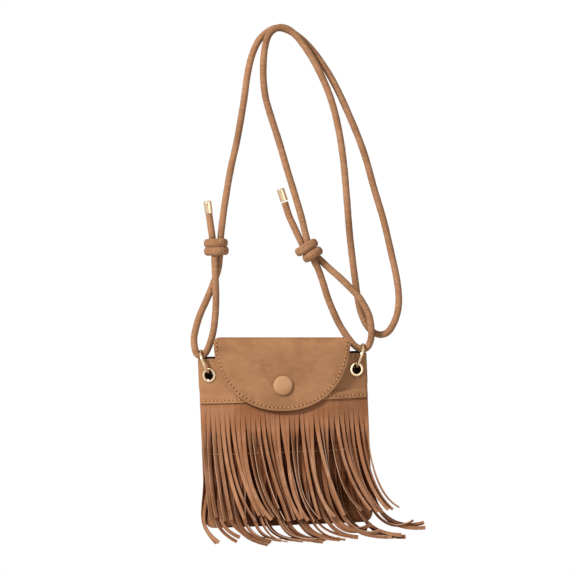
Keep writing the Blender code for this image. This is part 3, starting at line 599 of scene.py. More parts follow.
# Pouch walls. Two suede panels sewn face to face along the sides and the bottom and turned,
# so their edges roll into the seam. Their mouth edge is cut and stitched to the lining.
GAP = 0.3 * MM
HEADER_GAP = 0.75 * MM
SUEDE = 1.3 * MM
FRINGE_SUEDE = 1.1 * MM
LINING = 0.6 * MM
HALF_WIDTH = 95 * MM
HEIGHT = 192 * MM
CORNER_RADIUS = 10 * MM
SEAM_GAP_HALF = 0.15 * MM
MOUTH_FULLNESS = 0.75
FULL_DEPTH = 5.0 * MM
FULL_HALF_WIDTH = 0.505 * HALF_WIDTH
WING_HALF_WIDTH = 0.77 * HALF_WIDTH
FULL_TO_Z = -0.77 * HEIGHT
FLAT_FROM_Z = -0.953 * HEIGHT
WING_BEND_FROM = 0.63 * HALF_WIDTH
WING_BEND_TO = 0.76 * HALF_WIDTH
WING_ANGLE = math.radians(20)
WING_SHARE_AT_BOTTOM = 0.45
BAND_HEIGHT = 51 * MM
EDGE_ROLL = 3.2 * MM
SEAM_OUT = 0.55 * MM
MOUTH_CENTRE = Vector((2.4 * MM, 0, -369.8 * MM))
BAG_TILT = math.radians(2.3)
BAG = Matrix.Translation(MOUTH_CENTRE) @ Matrix.Rotation(-BAG_TILT, 4, "Y")

PANEL_MIDDLE = LINING + GAP + SUEDE / 2
PANEL_OUTER = PANEL_MIDDLE + SUEDE / 2


def middle_y(x, z):
    """Where the pouch's middle surface lies: flat, with side wings swept back."""
    beyond = abs(x) - WING_BEND_FROM
    if beyond <= 0:
        return 0.0
    bend = WING_BEND_TO - WING_BEND_FROM
    slope = math.tan(WING_ANGLE)
    back = slope * beyond * beyond / (2 * bend) if beyond < bend else slope * (beyond - bend / 2)
    down = min(max((-z - BAND_HEIGHT) / (HEIGHT - BAND_HEIGHT), 0), 1)
    return back * (1 - (1 - WING_SHARE_AT_BOTTOM) * down)


def void_half_depth(x, z):
    """Half the free depth between the two linings."""
    across = 1 - smooth_step(abs(x), FULL_HALF_WIDTH, WING_HALF_WIDTH)
    down = 1 - smooth_step(-z, -FULL_TO_Z, -FLAT_FROM_Z)
    mouth = MOUTH_FULLNESS + (1 - MOUTH_FULLNESS) * min(max(-z / BAND_HEIGHT, 0), 1)
    return SEAM_GAP_HALF + FULL_DEPTH * across * down * mouth


def void_surface(x, z, side):
    """A point of the inner lining face; side is -1 in front and +1 behind."""
    return Vector((x, middle_y(x, z) + side * void_half_depth(x, z), z))


def wall_point(x, z, side, distance):
    """A point at a distance outward from the inner lining face."""
    step = 0.5 * MM
    along_x = void_surface(x + step, z, side) - void_surface(x - step, z, side)
    along_z = void_surface(x, z + step, side) - void_surface(x, z - step, side)
    outward = along_x.cross(along_z).normalized()
    if outward.y * side < 0:
        outward.negate()
    return void_surface(x, z, side) + outward * distance


def edge_distance(x, z):
    """Distance of a point of a wall from the pouch's side and bottom outline."""
    in_x, in_z = abs(x) - (HALF_WIDTH - CORNER_RADIUS), -z - (HEIGHT - CORNER_RADIUS)
    if in_x > 0 and in_z > 0:
        return max(CORNER_RADIUS - math.hypot(in_x, in_z), 0)
    return min(HALF_WIDTH - abs(x), HEIGHT + z)


def half_width_at(z):
    """Half width of the pouch outline with its rounded lower corners."""
    below = -z - (HEIGHT - CORNER_RADIUS)
    reach = math.sqrt(max(CORNER_RADIUS ** 2 - max(below, 0) ** 2, 0))
    return HALF_WIDTH - CORNER_RADIUS + reach


def spread(count, low=-1.0, high=1.0):
    """count + 1 evenly spaced values from low to high."""
    return [low + (high - low) * i / count for i in range(count + 1)]


def rolled_places(count, reach, roll):
    """Places from -reach to reach, close together where an edge rolls over."""
    near_edge = [reach - roll * (1 - math.cos(a)) for a in spread(6, 0, math.pi / 2)]
    right = spread(count, 0, near_edge[-1])[:-1] + near_edge[::-1]
    return [-x for x in reversed(right[1:])] + right


def grid_mesh(name, rows, columns, place, matrix=None):
    """An open quad sheet; place(u, v) gives the point of column u and row v."""
    bm = bmesh.new()
    points = [[bm.verts.new(place(u, v)) for u in columns] for v in rows]
    for upper, lower in zip(points, points[1:]):
        for i in range(len(columns) - 1):
            bm.faces.new((upper[i], upper[i + 1], lower[i + 1], lower[i])).smooth = True
    return finished_mesh(name, bm, matrix)


def cut_out(obj, cutter):
    """Take a cutter's shape out of an object."""
    hole = obj.modifiers.new("hole", "BOOLEAN")
    hole.object = cutter
    hole.solver = "EXACT"


def settle(obj):
    """Make what an object's modifiers give its final mesh."""
    bpy.context.view_layer.update()
    final = bpy.data.meshes.new_from_object(obj.evaluated_get(bpy.context.evaluated_depsgraph_get()))
    obj.modifiers.clear()
    obj.data = final


def cut_sheet(obj, thickness, edge, finish, edge_finish=None, punches=()):
    """Give an open sheet its thickness, softened cut edges, holes and finishes, as one final mesh."""
    solidify = obj.modifiers.new("thickness", "SOLIDIFY")
    solidify.thickness = thickness
    solidify.offset = 0
    solidify.use_even_offset = True
    obj.data.materials.append(finish)
    if edge_finish:
        obj.data.materials.append(edge_finish)
        solidify.material_offset_rim = 1
    bevel = obj.modifiers.new("soft edge", "BEVEL")
    bevel.width = edge
    bevel.segments = 2
    bevel.limit_method = "ANGLE"
    bevel.angle_limit = math.radians(60)
    for punch in punches:
        cut_out(obj, punch)
    settle(obj)
    obj.data.shade_smooth()


EYELET_X = HALF_WIDTH - 12.5 * MM
EYELET_Z = -18.6 * MM
BARREL_RADIUS = 6.0 * MM
PUNCH_REACH = 12 * MM


def eyelet_seat(sign):
    """An eyelet's place in the pouch's middle surface, with its Z to the front."""
    centre = Vector((sign * EYELET_X, middle_y(sign * EYELET_X, EYELET_Z), EYELET_Z))
    front = Vector((sign * math.sin(WING_ANGLE), -math.cos(WING_ANGLE), 0))
    return BAG @ facing(centre, front)


def make_punch(sign):
    """The round punch that pierces the walls for one eyelet."""
    radius = BARREL_RADIUS + FIT_GAP
    profile = [(0, PUNCH_REACH), (radius, PUNCH_REACH), (radius, -PUNCH_REACH), (0, -PUNCH_REACH)]
    punch = link("punch", turned_mesh("punch", profile, 32, False))
    punch.matrix_world = eyelet_seat(sign)
    return punch


punches = [make_punch(-1), make_punch(1)]
# The panels take deep, far-reaching painted shade, darkest behind the fringe
panel_suede = suede_material("panel_suede", SUEDE_LIGHT, SUEDE_DARK, 0.45, 0.30, crevice=1.5, reach=0.040)
CUT_LIGHT = (0.54, 0.30, 0.16, 1)
CUT_DARK = (0.34, 0.17, 0.080, 1)
cut_edge = suede_material("cut_edge", CUT_LIGHT, CUT_DARK, 0.4, 0.4, height=0.0002)


def rolled_in(from_edge, seam, full):
    """Distance outward of a layer's middle: full inside its edge, rolled in to the seam at it."""
    share = min(from_edge / EDGE_ROLL, 1)
    return seam + (full - seam) * math.sqrt(max(1 - (1 - share) ** 2, 0))


def make_panel(name, side, node):
    """One full-height suede wall with its edge rolled into the seam."""
    dice = random.Random(11 if side < 0 else 12)
    waves = [(dice.uniform(20, 60), dice.uniform(20, 60), dice.uniform(0, 6.28)) for _ in range(4)]

    def place(x, z):
        narrow = x * half_width_at(z) / HALF_WIDTH
        sag = sum(math.sin(narrow * a + z * b + c) for a, b, c in waves) * 0.05 * MM
        out = rolled_in(edge_distance(narrow, z), SEAM_OUT, PANEL_MIDDLE)
        return wall_point(narrow, z, side, out - abs(sag))

    bottom = [-HEIGHT + EDGE_ROLL * (1 - math.cos(a)) for a in spread(6, 0, math.pi / 2)]
    corner = spread(5, -(HEIGHT - CORNER_RADIUS), bottom[-1])[:-1]
    rows = spread(40, 0, -(HEIGHT - CORNER_RADIUS))[:-1] + corner + bottom[::-1]
    rows[-1] = -HEIGHT + 0.02 * MM
    panel = link(name, grid_mesh(name, rows, rolled_places(34, HALF_WIDTH, EDGE_ROLL), place, BAG))
    cut_sheet(panel, SUEDE, 0.3 * MM, panel_suede, cut_edge, punches)
    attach(panel, "bag")
    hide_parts(node)
    return panel


front_panel = make_panel("front_panel_suede", -1, "front_panel")
back_panel = make_panel("back_panel_suede", 1, "back_panel")


# Linings. Dark woven cloth, one sheet inside each wall, trimmed inside the seams. The back one
# stands a little above the front edge of the mouth, where its dark rim shows.
LINING_TRIM = 4.2 * MM
BACK_RISE = 2.5 * MM
WEAVE_DARK = (0.010, 0.007, 0.006, 1)
WEAVE_LIGHT = (0.030, 0.022, 0.019, 1)
WEAVE_DUST = (0.06, 0.045, 0.036, 1)


def lining_material():
    """Black-brown plain weave."""
    material, tree, shader = new_material("lining_cloth")
    place = add_node(tree, "ShaderNodeTexCoord").outputs["Object"]
    warp, weft = (add_node(tree, "ShaderNodeTexWave", {"bands_direction": axis}, Vector=place, Scale=420.0,
                           Distortion=0.4).outputs["Fac"] for axis in ("X", "Z"))
    dust = add_node(tree, "ShaderNodeTexNoise", Vector=place, Scale=60.0, Detail=5.0).outputs["Fac"]
    weave = calc(tree, "MAXIMUM", warp, weft)
    bump = add_node(tree, "ShaderNodeBump", Strength=0.5, Distance=0.00008, Height=weave)
    colour = mix_colour(tree, weave, WEAVE_DARK, WEAVE_LIGHT)
    colour = mix_colour(tree, times(tree, ramp(tree, dust, 0.5, 0.8), 0.3), colour, WEAVE_DUST)
    set_sockets(tree, shader, {"Base Color": colour, "Normal": bump.outputs[0], "Roughness": 0.85,
                               "Specular IOR Level": 0.08})
    return material


lining_cloth = lining_material()


def make_lining(name, side, node):
    """One lining sheet, following its wall from inside."""
    top = BACK_RISE if side > 0 else 0

    def place(x, z):
        narrow = x * (half_width_at(z - LINING_TRIM) - LINING_TRIM) / HALF_WIDTH
        return wall_point(narrow, z, side, LINING / 2)

    rows = spread(34, top, -HEIGHT + LINING_TRIM + 0.5 * MM)
    lining = link(name, grid_mesh(name, rows, spread(44, -HALF_WIDTH, HALF_WIDTH), place, BAG))
    cut_sheet(lining, LINING, 0.12 * MM, lining_cloth, None, punches)
    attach(lining, "bag")
    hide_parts(node)


make_lining("front_lining_cloth", -1, "front_lining")
make_lining("back_lining_cloth", 1, "back_lining")


# Front band. A second piece of suede over the top quarter of the front, stitched along the
# mouth and along its own lower edge, where it holds the top of the upper fringe.
BAND_LAP = 6 * MM
BAND_SWELL = 5 * MM
BAND_MIDDLE = PANEL_OUTER + GAP + SUEDE / 2
BAND_OUTER = BAND_MIDDLE + SUEDE / 2
BAND_RISE = FRINGE_SUEDE + HEADER_GAP
BAND_SEAM_OUT = 1.9 * MM
BAND_TAPER, BAND_TAPER_FROM, BAND_TAPER_TO = 0.012, 30 * MM, 45 * MM
BAND_LIGHT = (0.400, 0.200, 0.096, 1)
STITCH_PITCH = 4.7 * MM
STITCH_LENGTH = 3.0 * MM
STITCH_RADIUS = 0.62 * MM
STITCH_SIDES = 8
# Along a stitch, from end to end: place, thickness and height above the suede
STITCH_SHAPE = ((-1, 0.45, -0.30), (-0.66, 0.9, 0.05), (0, 1.0, 0.25), (0.66, 0.9, 0.05), (1, 0.45, -0.30))
STITCH_SINK = 0.25 * MM
STITCH_SINK_REACH = 1.2 * MM
# A needle hole's half width, half length and height above the suede, in millimetres; each hole is drawn as a flat
# dark ellipse, painted shade
HOLE_HALF_ACROSS, HOLE_HALF_ALONG, HOLE_LIFT = 1.0, 0.85, 0.09
BAND_STITCH_ROWS = (2.6 * MM, BAND_HEIGHT - 3.4 * MM)
BAND_STITCH_END = 4.0 * MM
THREAD = (0.64, 0.36, 0.17, 1)
THREAD_DARK = (0.40, 0.20, 0.090, 1)
# Colours of the needle holes' painted shade
HOLE_RIM = (0.175, 0.075, 0.032, 1)
HOLE_DARK = (0.08, 0.032, 0.014, 1)

stitch_thread = suede_material("stitch_thread", THREAD, THREAD_DARK, 0.3, 0.4, height=0.00006, sheen=0.0,
                               crevice=0.2, reach=0.002, gloss=0.1)
needle_hole_shade = suede_material("needle_hole_shade", HOLE_RIM, HOLE_DARK, 0.3, 0.2, sheen=0.0, gloss=0.0)


def stitch_mesh(name, line):
    """A row of stitches along (point, outward) pairs: short sunk loops of thread between needle holes, each a flat
    dark ellipse of painted shade.
    """
    bm = bmesh.new()
    dice = random.Random(len(line))
    turns = [2 * math.pi * k / STITCH_SIDES for k in range(STITCH_SIDES)]
    left = STITCH_PITCH / 2
    for (a, out), (b, _) in zip(line, line[1:]):
        reach, done = (b - a).length, 0.0
        while reach - done >= left:
            done += left
            left = STITCH_PITCH
            centre = a.lerp(b, done / reach)
            along = (b - a).normalized()
            across = along.cross(out).normalized()
            along = (along + across * dice.uniform(-0.10, 0.10)).normalized()
            half = STITCH_LENGTH / 2 * dice.uniform(0.9, 1.08)
            rings = []
            for share, width, lift in STITCH_SHAPE:
                middle = centre + along * half * share + out * STITCH_RADIUS * lift
                rings.append([bm.verts.new(middle + (across * math.cos(t) + out * math.sin(t))
                                           * STITCH_RADIUS * width) for t in turns])
            for low, high in zip(rings, rings[1:]):
                for k in range(STITCH_SIDES):
                    n = (k + 1) % STITCH_SIDES
                    bm.faces.new((low[k], low[n], high[n], high[k])).smooth = True
            bm.faces.new(rings[0])
            bm.faces.new(rings[-1])
            middle = centre + along * STITCH_PITCH / 2 + out * HOLE_LIFT * MM
            hole = [bm.verts.new(middle + across * HOLE_HALF_ACROSS * MM * math.cos(t)
                                 + along * HOLE_HALF_ALONG * MM * math.sin(t)) for t in turns]
            bm.faces.new(hole).material_index = 1
        left -= reach - done
    mesh = finished_mesh(name, bm)
    mesh.materials.append(stitch_thread)
    mesh.materials.append(needle_hole_shade)
    return mesh


def band_distance(x, z):
    """Distance of the band's middle from the inner lining face."""
    rise = BAND_RISE * smooth_step(-z, BAND_HEIGHT - BAND_LAP - BAND_SWELL, BAND_HEIGHT - BAND_LAP - GAP)
    sunk = STITCH_SINK * sum(math.exp(-((-z - row) / STITCH_SINK_REACH) ** 2) for row in BAND_STITCH_ROWS)
    return rolled_in(HALF_WIDTH - abs(x), BAND_SEAM_OUT + rise, BAND_MIDDLE + rise - sunk)


def band_place(x, z):
    """A point of the band, which is drawn in a little toward its lower corners."""
    narrow = x * (1 - BAND_TAPER * smooth_step(-z, BAND_TAPER_FROM, BAND_TAPER_TO))
    return wall_point(narrow, z, -1, band_distance(x, z))


def wall_line(from_x, to_x, z, distance, side=-1, count=120):
    """(point, outward) pairs along a level line on a wall."""
    pairs = []
    for x in spread(count, from_x, to_x):
        here, over = (BAG @ wall_point(x, z, side, distance(x, z) + rise) for rise in (SUEDE / 2, SUEDE))
        pairs.append((here, (over - here).normalized()))
    return pairs


band_rows = spread(3, 0, -4 * MM)[:-1] + spread(13, -4 * MM, -39 * MM)[:-1] + spread(10, -39 * MM, -BAND_HEIGHT)
band_suede = suede_material("band_suede", BAND_LIGHT, SUEDE_DARK, 0.45, 0.28)
front_band = link("front_band_suede", grid_mesh(
    "front_band_suede", band_rows, rolled_places(38, HALF_WIDTH, EDGE_ROLL), band_place, BAG))
cut_sheet(front_band, SUEDE, 0.3 * MM, band_suede, cut_edge, punches)
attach(front_band, "bag")
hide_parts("front_band")

for level, row in zip(("upper", "lower"), BAND_STITCH_ROWS):
    name = "band_stitches_" + level
    reach = HALF_WIDTH - BAND_STITCH_END
    stitches = link(name, stitch_mesh(name, wall_line(-reach, reach, -row, band_distance)))
    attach(stitches, "bag")


# Fringe. Two strips of thinner suede, each cut into 34 square-ended strands below a solid top
# that is sewn to the front: the upper under the band, the lower across the middle of the panel.
# The strands hang over each other, swing to the right and twist.
STRAND_COUNT = 34
STRAND_PITCH = 5.53 * MM
STRAND_WIDTH = 4.9 * MM
STRAND_STEPS = 26
# Both rows' heights, how far they stand off the linings and how their strands bow. Tips are places
# in the view and angles are directions there, in degrees from straight down, for the strands that
# can be told apart
FRINGES = {
    "upper": {
        "top": -45 * MM, "root": -65 * MM, "stand_off": 9.6 * MM,
        "forward": 1.0, "pull": (0.42, 0.26), "seed": 3,
        "width": STRAND_WIDTH,
        "tips": {
            0: (211, 519), 1: (217, 517.2), 2: (225.2, 520.4), 3: (231.5, 519), 4: (245, 518),
            5: (255.5, 520.5), 6: (259.6, 514.6), 8: (271.7, 518.5), 10: (279.7, 516.6), 11: (285, 519),
            12: (288.8, 520), 14: (294.3, 518.8), 17: (308.3, 519.3), 18: (314.8, 519.2),
            20: (319.5, 518.2), 21: (331, 516), 22: (334.5, 515.5), 23: (343.5, 514), 25: (346, 513),
            26: (361.5, 509), 28: (377.5, 511.1), 30: (382, 512), 31: (388, 508.5), 32: (392.5, 508.5),
            33: (398.9, 506.1)},
        "angles": {
            0: 8, 1: 12, 2: 15, 3: 12, 5: 30, 8: 36, 10: 38, 12: 26, 14: 22, 17: 29, 20: 32, 21: 38, 23: 40,
            26: 48, 28: 40, 30: 45, 32: 50, 33: 64}},
    "lower": {
        "top": -101.5 * MM, "root": -112.5 * MM, "stand_off": 4.2 * MM,
        "forward": 0.0, "pull": (0.58, 0.40), "seed": 8,
        "width": 1.1 * STRAND_WIDTH,
        "tips": {
            0: (216.5, 543.3), 1: (219, 542.5), 2: (237, 541.5), 3: (240, 537), 5: (268, 544),
            6: (270, 542), 7: (271.5, 540.5), 8: (273, 539), 10: (288, 541), 12: (303, 540), 15: (323, 541),
            16: (325, 539.5), 17: (327, 538), 19: (340, 538.5), 22: (358, 536.5), 24: (371.4, 523),
            26: (385, 536), 28: (396, 537), 30: (405.8, 536.7), 31: (413.5, 520), 32: (424.2, 522.6),
            33: (425.5, 527.5)},
        "angles": {
            0: 45, 2: 62, 5: 78, 10: 84, 15: 86, 22: 88, 24: 125, 26: 92, 28: 96, 30: 92, 31: 122, 32: 106,
            33: 96}}}
HEADER_MIDDLE = PANEL_OUTER + HEADER_GAP + FRINGE_SUEDE / 2
FORWARD_HALF_WIDTH = 1.04 * FULL_HALF_WIDTH
FRINGE_LIGHT = (0.505, 0.262, 0.148, 1)
FRINGE_DARK = (0.248, 0.088, 0.031, 1)
FRINGE_EDGE = (0.86, 0.61, 0.45, 1)
FRINGE_EDGE_DARK = (0.50, 0.26, 0.14, 1)
STRAND_BRUSH = (3.4, 1.0, 0.35)
TOP_SHADE = 0.50
STRAND_SLACK = 1.04
# A slit opens by a small share at once and the strands narrow fully further down
SLIT_SHARE = 0.12
SLIT_OPENS = 2 * MM
STRAND_NARROWS = 30 * MM
# The outer strands lie calmer: the share of their bunch's shift that they keep, and how many
CALM_LEFT, CALM_LEFT_COUNT = 0.35, 7
CALM_RIGHT, CALM_RIGHT_COUNT = 0.25, 8
# How many strands at the left twist half as much, and the turn of the last, seen on its edge
FLATTER_COUNT = 8
EDGE_ON_TURN = math.radians(74)
FRINGE_STITCH_REACH = 88 * MM
FRINGE_STITCH_Z = -108.7 * MM
TO_BAG = BAG.inverted()


def fringe_material(name, light, dark, mottle, streak, crevice, reach):
    """The strips' suede, brushed lengthwise, with painted shade making it a little darker toward the solid top."""
    material = suede_material(name, light, dark, mottle, streak, crevice=crevice, reach=reach, gloss=0.06,
                              brush=STRAND_BRUSH)
    tree = material.node_tree
    drop = add_node(tree, "ShaderNodeAttribute", {"attribute_name": "drop"}).outputs["Fac"]
    tint_suede(material, times(tree, less(tree, 1.0, drop), TOP_SHADE), FRINGE_DARK)
    return material


# Both strips take painted shade between their strands, the lower strip deeper and further reaching than the upper
FRINGE_FINISHES = {level: (
    fringe_material("fringe_suede_" + level, FRINGE_LIGHT, FRINGE_DARK, 0.5, 0.35, deep, reach),
    fringe_material("fringe_edge_" + level, FRINGE_EDGE, FRINGE_EDGE_DARK, 0.3, 0.3, deep, reach))
    for level, deep, reach in (("upper", 1.35, 0.020), ("lower", 1.6, 0.040))}


def from_table(table, index):
    """A table's entry, or the straight line between its nearest two."""
    low, high = max(k for k in table if k <= index), min(k for k in table if k >= index)
    first, last = (Vector(table[k]) if isinstance(table[k], tuple) else table[k] for k in (low, high))
    return first if low == high else first + (last - first) * ((index - low) / (high - low))


def seen_at(pixel):
    """A place in the hanging frame, at depth 0, from its place in the view."""
    return Vector(((pixel[0] - HANG_POINT_PIXEL[0]) * PIXEL, 0, -(pixel[1] - HANG_POINT_PIXEL[1]) * PIXEL))


def bunches(dice):
    """Each strand's shift to the side and to the front, which draws neighbours together in twos to fours."""
    shifts = []
    while len(shifts) < STRAND_COUNT:
        count = dice.choice((2, 2, 3, 3, 4))
        lean, order = dice.uniform(-1.8, 1.8), dice.choice((-1, 1))
        for k in range(count):
            place = k - (count - 1) / 2
            stray = dice.choice((-7, 7)) if dice.random() < 0.10 else 0
            shifts.append(((lean - place * 4.3 + stray) * MM, (order * place * 1.5 + abs(stray) * 0.25) * MM))
    return shifts[:STRAND_COUNT]


def strand_line(row, index, dice, bunch):
    """One strand: centre points with their distance below the solid top, and its width direction there."""
    x0 = (index - (STRAND_COUNT - 1) / 2) * STRAND_PITCH
    points = []
    for z in spread(4, row["top"], row["root"]):
        left, right = (BAG @ wall_point(x0 + side * STRAND_PITCH / 2, z, -1, HEADER_MIDDLE) for side in (-1, 1))
        points.append(((left + right) / 2, row["root"] - z))
    seat_across = (right - left) / STRAND_PITCH
    root = points[-1][0]
    known = index in row["tips"]
    tip = seen_at(from_table(row["tips"], index))
    if not known:
        tip += Vector((dice.uniform(-2, 2) * PIXEL, 0, dice.uniform(-2.5, 2.5) * PIXEL))
    angle = math.radians(from_table(row["angles"], index) + (0 if known else dice.uniform(-7, 7)))
    length = (tip - root).length * STRAND_SLACK
    down, end = (length * share for share in row["pull"])
    sway, closer = bunch[index]
    first = root + Vector((0.04 * down + 0.15 * sway, 0, -down))
    last = tip - Vector((math.sin(angle), 0, -math.cos(angle))) * end + Vector((1.55 * sway, 0, 0))
    stand_off = row["stand_off"] + closer + dice.uniform(-0.6, 0.6) * MM
    forward_y = root.y
    for i in range(1, STRAND_STEPS + 1):
        t = i / STRAND_STEPS
        s = 1 - t
        flat = root * s ** 3 + first * 3 * s * s * t + last * 3 * s * t * t + tip * t ** 3
        local = TO_BAG @ Vector((flat.x, 0, flat.z))
        off = HEADER_MIDDLE + (stand_off - HEADER_MIDDLE) * smooth_step(t, 0, 0.22)
        on_wall = wall_point(min(max(local.x, -HALF_WIDTH), HALF_WIDTH), max(local.z, -HEIGHT), -1, off).y
        beside = wall_point(min(local.x, FORWARD_HALF_WIDTH), max(local.z, FULL_TO_Z), -1, off).y
        y = on_wall + (beside - on_wall) * row["forward"] * smooth_step(t, 0.05, 0.4)
        forward_y = min(forward_y, y)
        points.append((Vector((flat.x, forward_y, flat.z)), t * length))
    return points, seat_across


def add_strand(bm, points, seat_across, twist_to, width, curl, slit):
    """Sweep one strand's flat section down its line. Above its slit it meets its neighbours."""
    thick = FRINGE_SUEDE / 2
    total = points[-1][1]
    drop_layer = bm.verts.layers.float["drop"]
    rings = []
    for i, (point, below) in enumerate(points):
        ahead = (points[min(i + 1, len(points) - 1)][0] - points[max(i - 1, 0)][0]).normalized()
        flat = Vector((-ahead.z, 0, ahead.x)).normalized()
        out = flat.cross(ahead).normalized()
        if out.y > 0:
            out.negate()
        t = max(below, 0) / total
        twist = twist_to(t)
        across = flat * math.cos(twist) + out * math.sin(twist)
        free = smooth_step(below, 0, 22 * MM)
        across = seat_across * (1 - free) + across * free
        normal = across.cross(ahead).normalized()
        if normal.y > 0 and abs(twist) < 1.4:
            normal.negate()
        cut = (SLIT_SHARE * smooth_step(below, slit, slit + SLIT_OPENS)
               + (1 - SLIT_SHARE) * smooth_step(below, slit, slit + STRAND_NARROWS))
        half = (STRAND_PITCH + (width - STRAND_PITCH) * cut) / 2
        edge = (0.02 + 0.26 * min(cut * 6, 1)) * MM
        bend = curl * smooth_step(t, 0.05, 0.35)
        outline = [(-half, thick - edge), (-half + edge, thick), (-half / 3, thick), (half / 3, thick),
                   (half - edge, thick), (half, thick - edge), (half, -thick + edge), (half - edge, -thick),
                   (half / 3, -thick), (-half / 3, -thick), (-half + edge, -thick), (-half, -thick + edge)]
        ring = [bm.verts.new(point + across * u + normal * (v + bend * (u * u / (half * half) - 0.5)))
                for u, v in outline]
        for vert in ring:
            vert[drop_layer] = smooth_step(t, 0.05, 0.45)
        rings.append(ring)
    count = len(outline)
    for a, b in zip(rings, rings[1:]):
        for k in range(count):
            n = (k + 1) % count
            face = bm.faces.new((a[k], a[n], b[n], b[k]))
            face.smooth = True
            face.material_index = 1 if k in (5, 11) else 0
    for ring in (rings[0], rings[-1][::-1]):
        bm.faces.new(ring).material_index = 1


def make_fringe(level, node):
    """One fringe strip: all its strands, joined side by side above their slits."""
    row = FRINGES[level]
    dice = random.Random(row["seed"])
    name = "fringe_" + level + "_suede"
    bm = bmesh.new()
    bm.verts.layers.float.new("drop")
    calm = {k: CALM_LEFT for k in range(CALM_LEFT_COUNT)}
    if level == "upper":
        calm |= {k: CALM_RIGHT for k in range(STRAND_COUNT - CALM_RIGHT_COUNT, STRAND_COUNT)}
    bunch = [(shift * calm.get(k, 1), closer) for k, (shift, closer) in enumerate(bunches(dice))]
    for index in range(STRAND_COUNT):
        points, seat_across = strand_line(row, index, dice, bunch)
        flatter = 0.5 if index < FLATTER_COUNT else 1.0
        turn = math.radians(dice.choice((-55, -30, 15, 30, 45, 70)) * flatter + dice.uniform(-8, 8))
        if level == "upper" and index == STRAND_COUNT - 1:
            turn = EDGE_ON_TURN
        sway, start = math.radians(dice.uniform(-14, 14)), dice.uniform(0, 6.28)

        def twist_to(t, turn=turn, sway=sway, start=start):
            wave = sway * math.sin(5 * t + start) * smooth_step(t, 0.1, 0.5)
            return turn * smooth_step(t, 0.0, 0.30) + wave

        add_strand(bm, points, seat_across, twist_to, row["width"] * dice.uniform(0.81, 0.95),
                   dice.uniform(-0.5, 0.5) * MM, dice.uniform(-6, 6) * MM)
    mesh = finished_mesh(name, bm)
    mesh.set_sharp_from_angle(angle=math.radians(38))
    for finish in FRINGE_FINISHES[level]:
        mesh.materials.append(finish)
    fringe = link(name, mesh)
    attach(fringe, "bag")
    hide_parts(node)


make_fringe("upper", "fringe_upper")
make_fringe("lower", "fringe_lower")
lower_top_stitches = link("fringe_stitches", stitch_mesh("fringe_stitches", wall_line(
    -FRINGE_STITCH_REACH, FRINGE_STITCH_REACH, FRINGE_STITCH_Z, lambda x, z: HEADER_MIDDLE - 0.1 * MM)))
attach(lower_top_stitches, "bag")


# Flap. One piece of suede sewn to the back panel, folded over the mouth and down the front,
# with a rounded edge and one row of stitches all round. Its inside is lined up to the fold.
FLAP_CENTRE_X = 2.3 * MM
CREST_Z = -348.4 * MM
CREST_Y = -2.755 * MM
FLAP_DROP = 82.6 * MM
FLAP_HALF_WIDTH = 0.816 * HALF_WIDTH
CREST_HALF_WIDTH = 0.742 * HALF_WIDTH
ROOT_HALF_WIDTH = CREST_HALF_WIDTH - 1 * MM
CHAMFER_RUN = 8 * MM
FOLD_RADIUS = 10.5 * MM
FOLD_ARC = FOLD_RADIUS * math.pi / 2
FLAP_RUN = FOLD_ARC + FLAP_DROP - FOLD_RADIUS
FLAP_ROUNDNESS = 2.15
FLAP_SIDE_CURL = 5 * MM
ROOT_LAP = 20 * MM
ROOT_MIDDLE = PANEL_OUTER + GAP + SUEDE / 2
FLAP_STITCH_INSET = 3.6 * MM
SNAP_X = 3.6 * MM
SNAP_Z = -402.7 * MM
FLAP_LIGHT = (0.412, 0.204, 0.097, 1)
FLAP_DARK = (0.250, 0.108, 0.048, 1)
SCRATCH_PLACE = (-24 * MM, 0, -383 * MM)
SCRATCH_SLOPE = math.radians(122)
SCRATCH_COLOUR = (0.60, 0.34, 0.185, 1)
ROOT_STITCH_INSET = 3 * MM
ROOT_STITCH_RISE = 3.5 * MM


def flap_half_width(run):
    """Half width of the flap at a distance along it from the fold's crest."""
    if run < CHAMFER_RUN:
        return CREST_HALF_WIDTH + (FLAP_HALF_WIDTH - CREST_HALF_WIDTH) * max(run, 0) / CHAMFER_RUN
    share = (run - CHAMFER_RUN) / (FLAP_RUN - CHAMFER_RUN)
    return FLAP_HALF_WIDTH * (1 - min(share, 1) ** FLAP_ROUNDNESS) ** (1 / FLAP_ROUNDNESS)


def flap_point(x, run, height):
    """A point of the flap, x from its centre line and height outward from its middle."""
    top, back = CREST_Z - SUEDE / 2, CREST_Y - GAP / 2
    angle = min(run / FOLD_RADIUS, math.pi / 2)
    point = Vector((FLAP_CENTRE_X + x, back - FOLD_RADIUS * math.sin(angle),
                    top - FOLD_RADIUS * (1 - math.cos(angle)) - max(run - FOLD_ARC, 0)))
    point += Vector((0, -math.sin(angle), math.cos(angle))) * height
    low = smooth_step(run, CHAMFER_RUN, FLAP_RUN / 3)
    point.y += FLAP_SIDE_CURL * (x / FLAP_HALF_WIDTH) ** 4 * low
    point.y += 0.35 * MM * low * math.sin(x * 62 + 0.6) * math.sin(run * 45)
    return point


